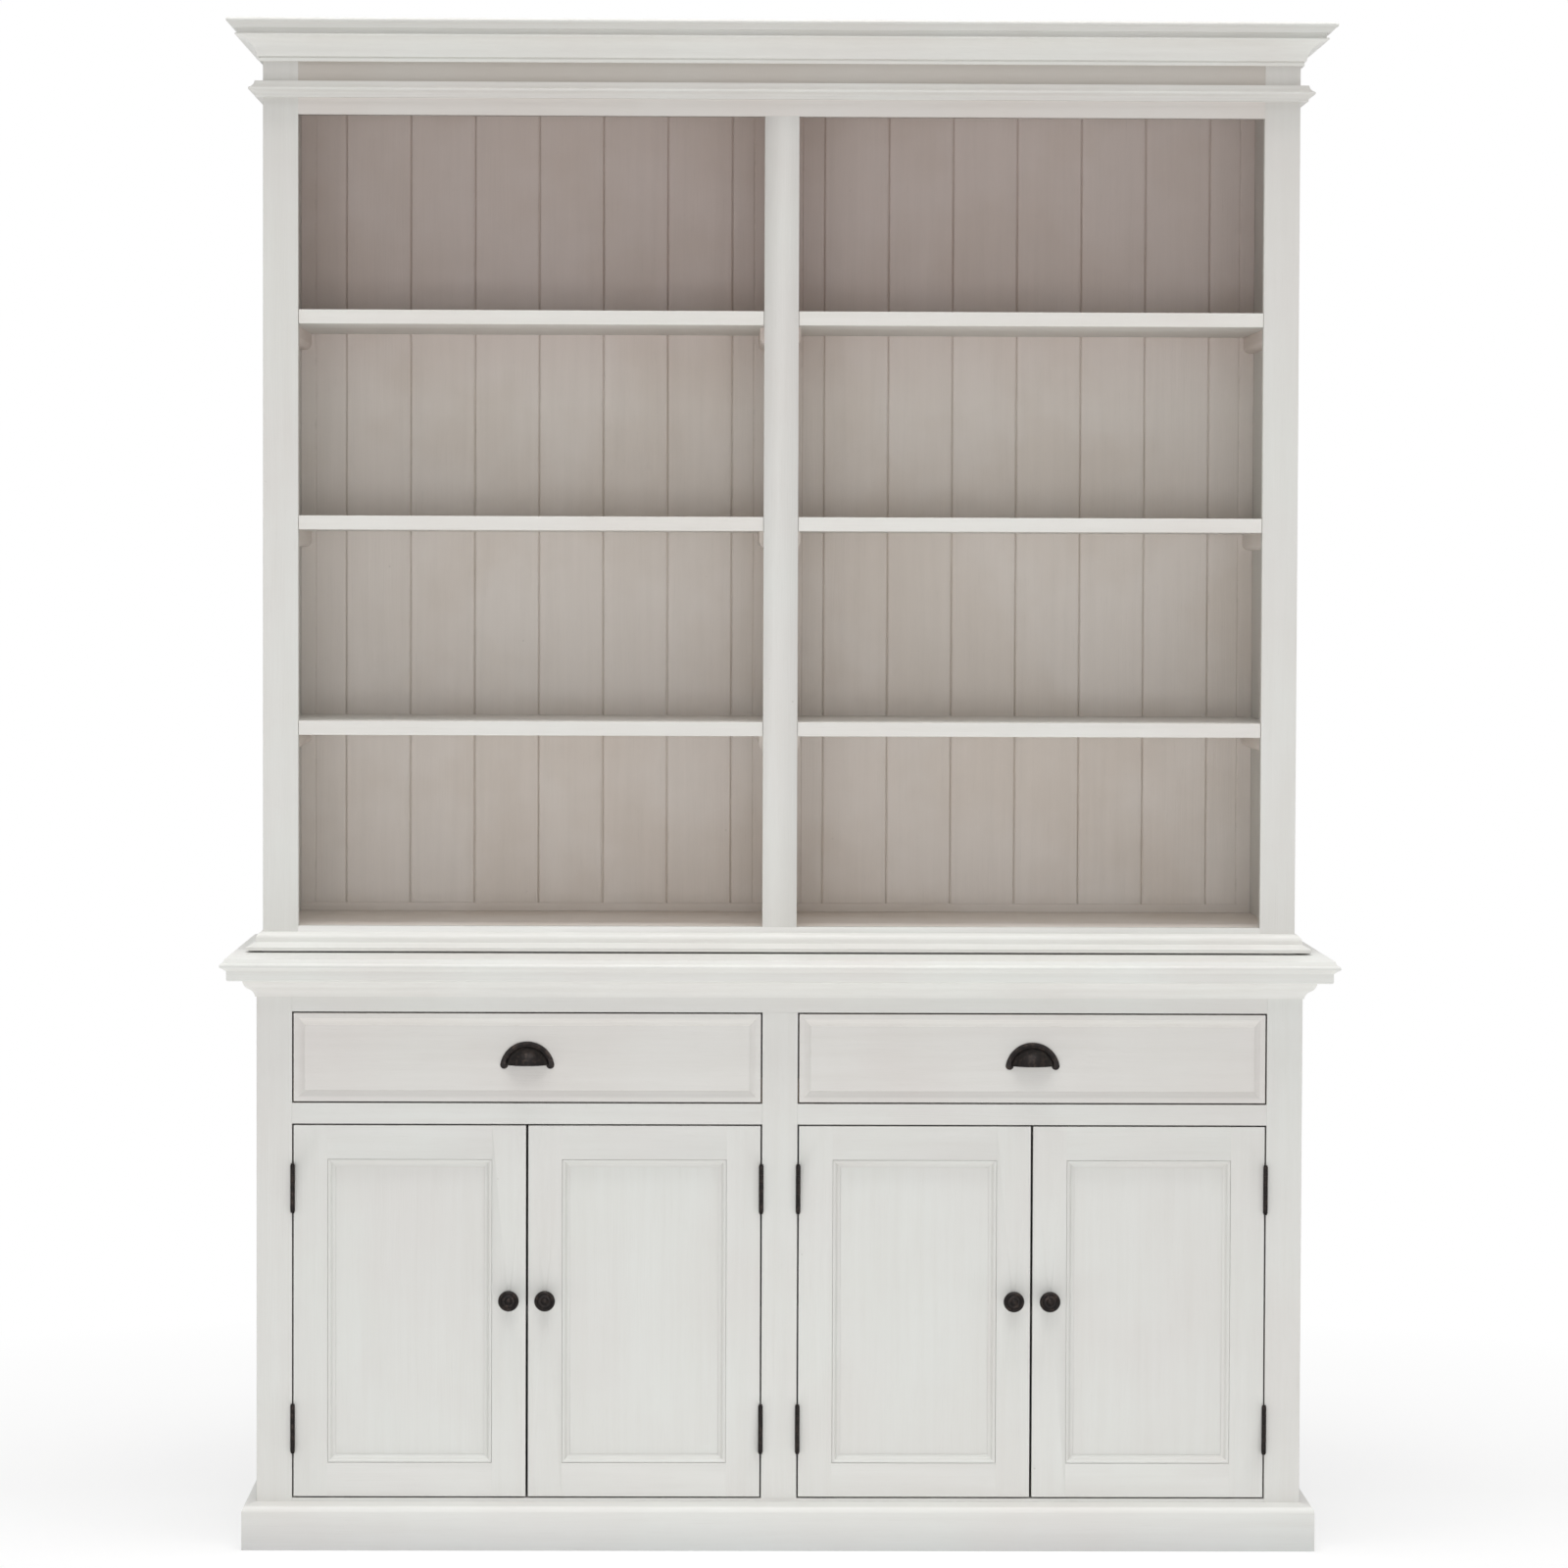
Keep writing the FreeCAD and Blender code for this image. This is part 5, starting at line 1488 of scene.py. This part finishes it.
@dataclass
class CupPull:
    """One hollow cup pull with its flange, two ears and two screws.

    The flange and the dome are each a radius and how far from the drawer they reach. The crease
    round the dome's foot is how far its deepest line is from either side, and how deep it is.
    The ear rises are how far an ear stands over the flange at its edge and in its middle.
    """

    side: Side
    frame: dict[str, Any]
    flange: Pair = (35.5 * MM, 2.0 * MM)
    dome: Pair = (29.0 * MM, 23.0 * MM)
    wall: float = 2.0 * MM
    mouth_rise: float = 5.2 * MM
    crease: Pair = (0.5 * MM, 0.25 * MM)
    ear: float = 5.2 * MM
    ear_rises: Pair = (0.15 * MM, 0.45 * MM)
    ear_soft: Pair = (0.8 * MM, 0.5 * MM)
    ear_edge: Arc = Arc(-0.25 * MM, 4)
    ear_top: Arc = Arc(-0.05 * MM, 3)
    ear_steps: int = 32
    soft: float = 0.6 * MM
    flange_edge: Arc = Arc(0.2 * MM, 4)
    dome_steps: Sequence[int] = (18, 16)
    lip: float = 0.45 * MM
    screw_ring: float = 32.3 * MM
    screw_rise: float = 11.5 * MM
    screw: ScrewHead = ScrewHead(2.7 * MM, 1.4 * MM)
    screw_turn: float = 0.6
    turn_steps: int = 96
    flat: float = 0.999
    end_corners: int = 8

    def bulge(self, radius: float, rise: float) -> float:
        """Gives how far a dome's profile stands off the line from its top to its edge."""
        sphere = (radius**2 + rise**2) / (2 * rise)
        return sphere - math.sqrt(sphere**2 - (radius**2 + rise**2) / 4)

    def outline(self) -> Outline:
        """Draws the whole bowl's profile, outside and back along the inside.

        Returns:
            The outline.
        """
        flange_radius, flange_top = self.flange
        dome_radius, depth = self.dome
        inner_radius = dome_radius - self.wall
        inner_depth = depth - self.wall
        outer_steps, inner_steps = self.dome_steps
        reach, drop = self.crease
        outside = Arc(self.bulge(dome_radius, depth - flange_top), outer_steps)
        inside = Arc(-self.bulge(inner_radius, inner_depth), inner_steps)
        line = Outline([(0.0, depth)])
        line.bend((dome_radius, flange_top), outside)
        line.to(
            (dome_radius + reach, flange_top - drop),
            (dome_radius + 2 * reach, flange_top),
            (flange_radius - self.soft, flange_top),
        )
        line.bend((flange_radius, flange_top - self.soft), self.flange_edge)
        line.to((flange_radius, 0.0), (inner_radius, 0.0))
        line.bend((0.0, inner_depth), inside)
        return line

    def bowl(self) -> bmesh.types.BMesh:
        """Builds the flange and the dome, cut open at the mouth.

        Returns:
            The shape, about an origin on the drawer's face.
        """
        mesh = self.outline().turned(self.turn_steps)
        bmesh.ops.bisect_plane(
            mesh,
            geom=mesh.verts[:] + mesh.edges[:] + mesh.faces[:],
            plane_co=(0.0, self.mouth_rise, 0.0),
            plane_no=(0.0, 1.0, 0.0),
            clear_inner=True,
        )
        bmesh.ops.edgenet_fill(mesh, edges=[edge for edge in mesh.edges if edge.is_boundary])
        bmesh.ops.recalc_face_normals(mesh, faces=mesh.faces[:])
        ends = [
            face
            for face in mesh.faces
            if abs(face.normal.y) > self.flat and len(face.verts) > self.end_corners
        ]
        rims = list(dict.fromkeys(edge for face in ends for edge in face.edges))
        bevelled(mesh, rims, self.lip, 3)
        bmesh.ops.triangulate(mesh, faces=[face for face in mesh.faces if len(face.verts) > 4])
        for face in mesh.faces:
            face.smooth = abs(face.normal.y) < self.flat
        return mesh

    def button(self) -> bmesh.types.BMesh:
        """Builds one round ear.

        Returns:
            The shape, on Z = 0.
        """
        top = self.flange[1]
        inset, drop = self.ear_soft
        edge_rise, middle_rise = self.ear_rises
        line = Outline([(0.0, 0.0), (self.ear, 0.0), (self.ear, top - drop)])
        line.bend((self.ear - inset, top + edge_rise), self.ear_edge)
        line.bend((0.0, top + middle_rise), self.ear_top)
        return line.turned(self.ear_steps)

    def build(self) -> None:
        """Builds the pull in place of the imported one."""
        body = f"drawer_{self.side.word}"
        node = f"{body}_pull"
        box = node_extent(self.frame, node)
        flange_radius, flange_top = self.flange
        across = box.middle(0)
        centre = box.high.z - flange_radius
        face = node_extent(self.frame, f"{body}_front").low.y
        whole = bmesh.new()
        upright = Matrix.Translation((across, face, centre)) @ Matrix.Rotation(math.pi / 2, 4, "X")
        added(whole, self.bowl(), upright)
        ear_x = math.sqrt(flange_radius**2 - self.mouth_rise**2) - self.ear
        screw_x = math.sqrt(self.screw_ring**2 - self.screw_rise**2)
        for side in (-1.0, 1.0):
            place = (across + side * ear_x, face, centre + self.mouth_rise)
            added(whole, self.button(), facing(place, FRONTWARD))
            place = (across + side * screw_x, face - flange_top, centre + self.screw_rise)
            self.screw.add_to(whole, place, FRONTWARD, self.screw_turn * side)
        finished_piece(f"{node}_dressed", whole, body, Finishes.METAL, node)


@dataclass
class Hinges:
    """The leaves, pins and screws of all hinges."""

    dresser: BoardDresser
    edges: Edges = Edges(0.2 * MM)
    screw: ScrewHead = ScrewHead(2.6 * MM, 0.35 * MM, floor_share=0.3)
    spread: float = 21.0 * MM
    stagger: float = 1.6 * MM
    half_gap: float = 1.0 * MM
    leaf_middle: float = 14.2 * MM
    first_turn: float = 0.7
    turn_step: float = 1.9
    frame_turn: float = 0.8

    def build(self) -> None:
        """Dresses the leaves and pins, and adds three screws to each leaf."""
        for node in ("hinge_frame_leaves", "hinge_pins"):
            self.dresser.dress(node, CABINET, Finishes.METAL, self.edges)
        fixed = bmesh.new()
        for door in DOORS:
            body = f"door_{door}"
            node = f"{body}_hinge_leaves"
            self.dresser.dress(node, body, Finishes.METAL, self.edges)
            inward = 1.0 if door % 2 else -1.0
            moving = bmesh.new()
            for box in self.dresser.extents(node):
                for step in (-1, 0, 1):
                    depth = box.low.y + self.leaf_middle + self.stagger * abs(step)
                    level = box.middle(2) + step * self.spread
                    turn = self.first_turn + self.turn_step * step + door
                    gap = self.half_gap * inward
                    place = (box.middle(0) + gap, depth, level)
                    self.screw.add_to(moving, place, (-inward, 0, 0), turn)
                    place = (box.middle(0) - gap, depth, level)
                    self.screw.add_to(fixed, place, (inward, 0, 0), turn + self.frame_turn)
            finished_piece(f"{body}_hinge_screws", moving, body, Finishes.METAL)
        finished_piece("frame_hinge_screws", fixed, CABINET, Finishes.METAL)


@dataclass
class Latches:
    """The pole strips of the four catches and the strike plates on the doors' backs."""

    dresser: BoardDresser
    strip: Plate = Plate(36.0 * MM, 4.0 * MM, 0.4 * MM, corner=0.4 * MM, soft=0.1 * MM)
    strip_rise: float = 4.5 * MM
    strip_proud: float = 0.2 * MM
    strike: Plate = Plate(38.0 * MM, 13.0 * MM, 1.0 * MM, corner=3.0 * MM, soft=0.25 * MM)
    strike_drop: float = 8.0 * MM
    screw: ScrewHead = ScrewHead(2.2 * MM, 0.3 * MM, slots=2, floor_share=0.3)
    screw_reach: float = 14.5 * MM
    screw_turn: float = 0.5

    def build(self) -> None:
        """Builds the strips on the cabinet and a plate with two screws on each door."""
        catches = sorted(self.dresser.extents("door_catches"), key=lambda box: box.low.x)
        strips = bmesh.new()
        for door, catch in zip(DOORS, catches):
            across = catch.middle(0)
            for rise in (-self.strip_rise, self.strip_rise):
                place = (across, catch.low.y + self.strip_proud, catch.middle(2) + rise)
                added(strips, self.strip.shape(), facing(place, FRONTWARD))
            body = f"door_{door}"
            frame = node_extent(self.dresser.frame, f"{body}_frame")
            level = frame.high.z - self.strike_drop
            whole = bmesh.new()
            added(whole, self.strike.shape(), facing((across, frame.high.y, level), BACKWARD))
            face = frame.high.y + self.strike.thickness
            for side in (-1, 1):
                place = (across + side * self.screw_reach, face, level)
                self.screw.add_to(whole, place, BACKWARD, self.screw_turn * door + side)
            finished_piece(f"{body}_strike", whole, body, Finishes.METAL)
        finished_piece("catch_pole_strips", strips, CABINET, Finishes.METAL)


@dataclass
class BackNails:
    """The round nail heads that hold the back boards and the base's back panel.

    The dome is a head's profile, in shares of its radius and its height.
    """

    dresser: BoardDresser
    radius: float = 2.6 * MM
    height: float = 0.7 * MM
    inset: float = 10.0 * MM
    edge_inset: float = 6.0 * MM
    pitch: float = 110.0 * MM
    columns: int = 13
    sides: int = 14
    dome: Sequence[Pair] = ((0.0, 0.0), (1.0, 0.0), (0.92, 0.6), (0.55, 0.92), (0.0, 1.0))

    def nail(self, whole: bmesh.types.BMesh, x: float, y: float, z: float) -> None:
        """Adds one nail head that faces backward.

        Args:
            whole: the shape that grows.
            x: where it is from side to side.
            y: the face that it stands on.
            z: how high it is.
        """
        outline = Outline([(self.radius * across, self.height * up) for across, up in self.dome])
        added(whole, outline.turned(self.sides), facing((x, y, z), BACKWARD))

    def build(self) -> None:
        """Builds the nails of both backs."""
        whole = bmesh.new()
        levels = {box.middle(2) for box in self.dresser.extents("hutch_shelves_left")}
        for side in Side:
            for board in self.dresser.extents(f"hutch_back_boards_{side.word}"):
                ends = {board.low.z + self.inset, board.high.z - self.inset}
                for level in sorted(levels | ends):
                    self.nail(whole, board.middle(0), board.high.y, level)
        panel = self.dresser.extents("base_back_panel")[0]
        left, right = panel.low.x + self.edge_inset, panel.high.x - self.edge_inset
        foot, top = panel.low.z + self.inset, panel.high.z - self.inset
        for column in range(self.columns):
            x = left + (right - left) * column / (self.columns - 1)
            for z in (foot, top):
                self.nail(whole, x, panel.high.y, z)
        rows = int((top - foot) / self.pitch)
        for row in range(1, rows):
            for x in (left, 0.0, right):
                self.nail(whole, x, panel.high.y, foot + (top - foot) * row / rows)
        finished_piece("back_nails", whole, CABINET, Finishes.METAL)


@dataclass
class Hardware:
    """Latches, nails, knobs, pulls and hinges."""

    frame: dict[str, Any]
    dresser: BoardDresser

    def build(self) -> None:
        """Builds all of the metal parts."""
        Latches(self.dresser).build()
        BackNails(self.dresser).build()
        for door in DOORS:
            Knob(door, self.frame).build()
        for side in Side:
            CupPull(side, self.frame).build()
        Hinges(self.dresser).build()


# Stage


@dataclass
class Camera:
    """The photograph's camera, as a perspective fit of its edges gives it."""

    place: Triple = (-0.1002, -7.4525, 1.2806)
    yaw: float = 0.01435
    pitch: float = 0.0389
    roll: float = -0.0036
    lens: float = 128.3
    sensor: float = 36.0
    far: float = 100.0

    def build(self) -> None:
        """Adds the camera and makes it the scene's."""
        data = bpy.data.cameras.new("photo_camera")
        data.lens = self.lens
        data.sensor_width = self.sensor
        data.sensor_fit = "HORIZONTAL"
        data.clip_end = self.far
        level = Vector((math.sin(self.yaw), math.cos(self.yaw), 0.0))
        right = Vector((math.cos(self.yaw), -math.sin(self.yaw), 0.0))
        up = Vector((0.0, 0.0, 1.0))
        ahead = level * math.cos(self.pitch) - up * math.sin(self.pitch)
        above = level * math.sin(self.pitch) + up * math.cos(self.pitch)
        across = right * math.cos(self.roll) - above * math.sin(self.roll)
        top = right * math.sin(self.roll) + above * math.cos(self.roll)
        turn = Matrix((across, top, -ahead)).transposed()
        camera = placed("photo_camera", data)
        camera.matrix_world = Matrix.Translation(self.place) @ turn.to_4x4()
        bpy.context.scene.camera = camera


@dataclass(frozen=True)
class Lamp:
    """A soft rectangular lamp that points at a spot."""

    name: str
    place: Triple
    target: Triple
    size: Pair
    power: float

    def build(self) -> None:
        """Adds the lamp."""
        data = bpy.data.lights.new(self.name, "AREA")
        data.shape = "RECTANGLE"
        data.size, data.size_y = self.size
        data.energy = self.power
        lamp = placed(self.name, data)
        lamp.location = self.place
        aim = Vector(self.target) - Vector(self.place)
        lamp.rotation_euler = aim.to_track_quat("-Z", "Y").to_euler()


@dataclass
class Studio:
    """Floor, world and lamps."""

    ambient: float = 0.28
    floor_reach: float = 15.0
    lamps: tuple[Lamp, ...] = (
        Lamp("front_lamp", (-0.2, -9.0, 0.80), (0.0, -0.2, 1.0), (4.0, 1.5), 109.0),
        Lamp("overhead_lamp", (0.0, -0.9, 4.2), (0.0, -0.9, 0.0), (3.5, 2.0), 18.0),
        Lamp("ceiling_lamp", (0.0, -1.3, 8.0), (0.0, -1.0, 0.0), (5.0, 3.0), 285.0),
        Lamp("high_lamp", (0.0, -5.0, 6.5), (0.0, -0.2, 1.0), (3.0, 2.0), 64.0),
    )

    def build(self) -> None:
        """Builds the floor, the world and the lamps."""
        mesh = bmesh.new()
        bmesh.ops.create_grid(mesh, x_segments=1, y_segments=1, size=self.floor_reach)
        data = mesh_data("floor", mesh)
        data.materials.append(PaleStage("pale_floor", Slot.PAINT).material())
        floor = placed("floor", data)
        self.world()
        for lamp in self.lamps:
            lamp.build()
        bpy.context.scene.view_settings.view_transform = "Standard"

    def world(self) -> None:
        """Builds a world that is white to the camera and soft to the object."""
        world = bpy.data.worlds.new("studio")
        world.use_nodes = True
        world.node_tree.nodes.clear()
        wiring = Wiring(world.node_tree)
        soft = wiring.node("Background", {"Color": WHITE, "Strength": self.ambient}).outputs[0]
        white = wiring.node("Background", {"Color": WHITE, "Strength": 1.0}).outputs[0]
        seen = wiring.background_seen()
        mix = wiring.node("MixShader", {0: seen, 1: soft, 2: white}).outputs[0]
        wiring.node("OutputWorld", {"Surface": mix})
        bpy.context.scene.world = world


def main() -> None:
    """Builds the cabinet around its frame, then the stage."""
    logging.basicConfig(level=logging.INFO)
    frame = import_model()
    Camera().build()
    dresser = BoardDresser(frame)
    Carcass(dresser).build()
    for number in DOORS:
        Door(number, dresser).build()
    for side in Side:
        Drawer(side, dresser).build()
    Hardware(frame, dresser).build()
    Studio().build()


if __name__ == "__main__":
    main()
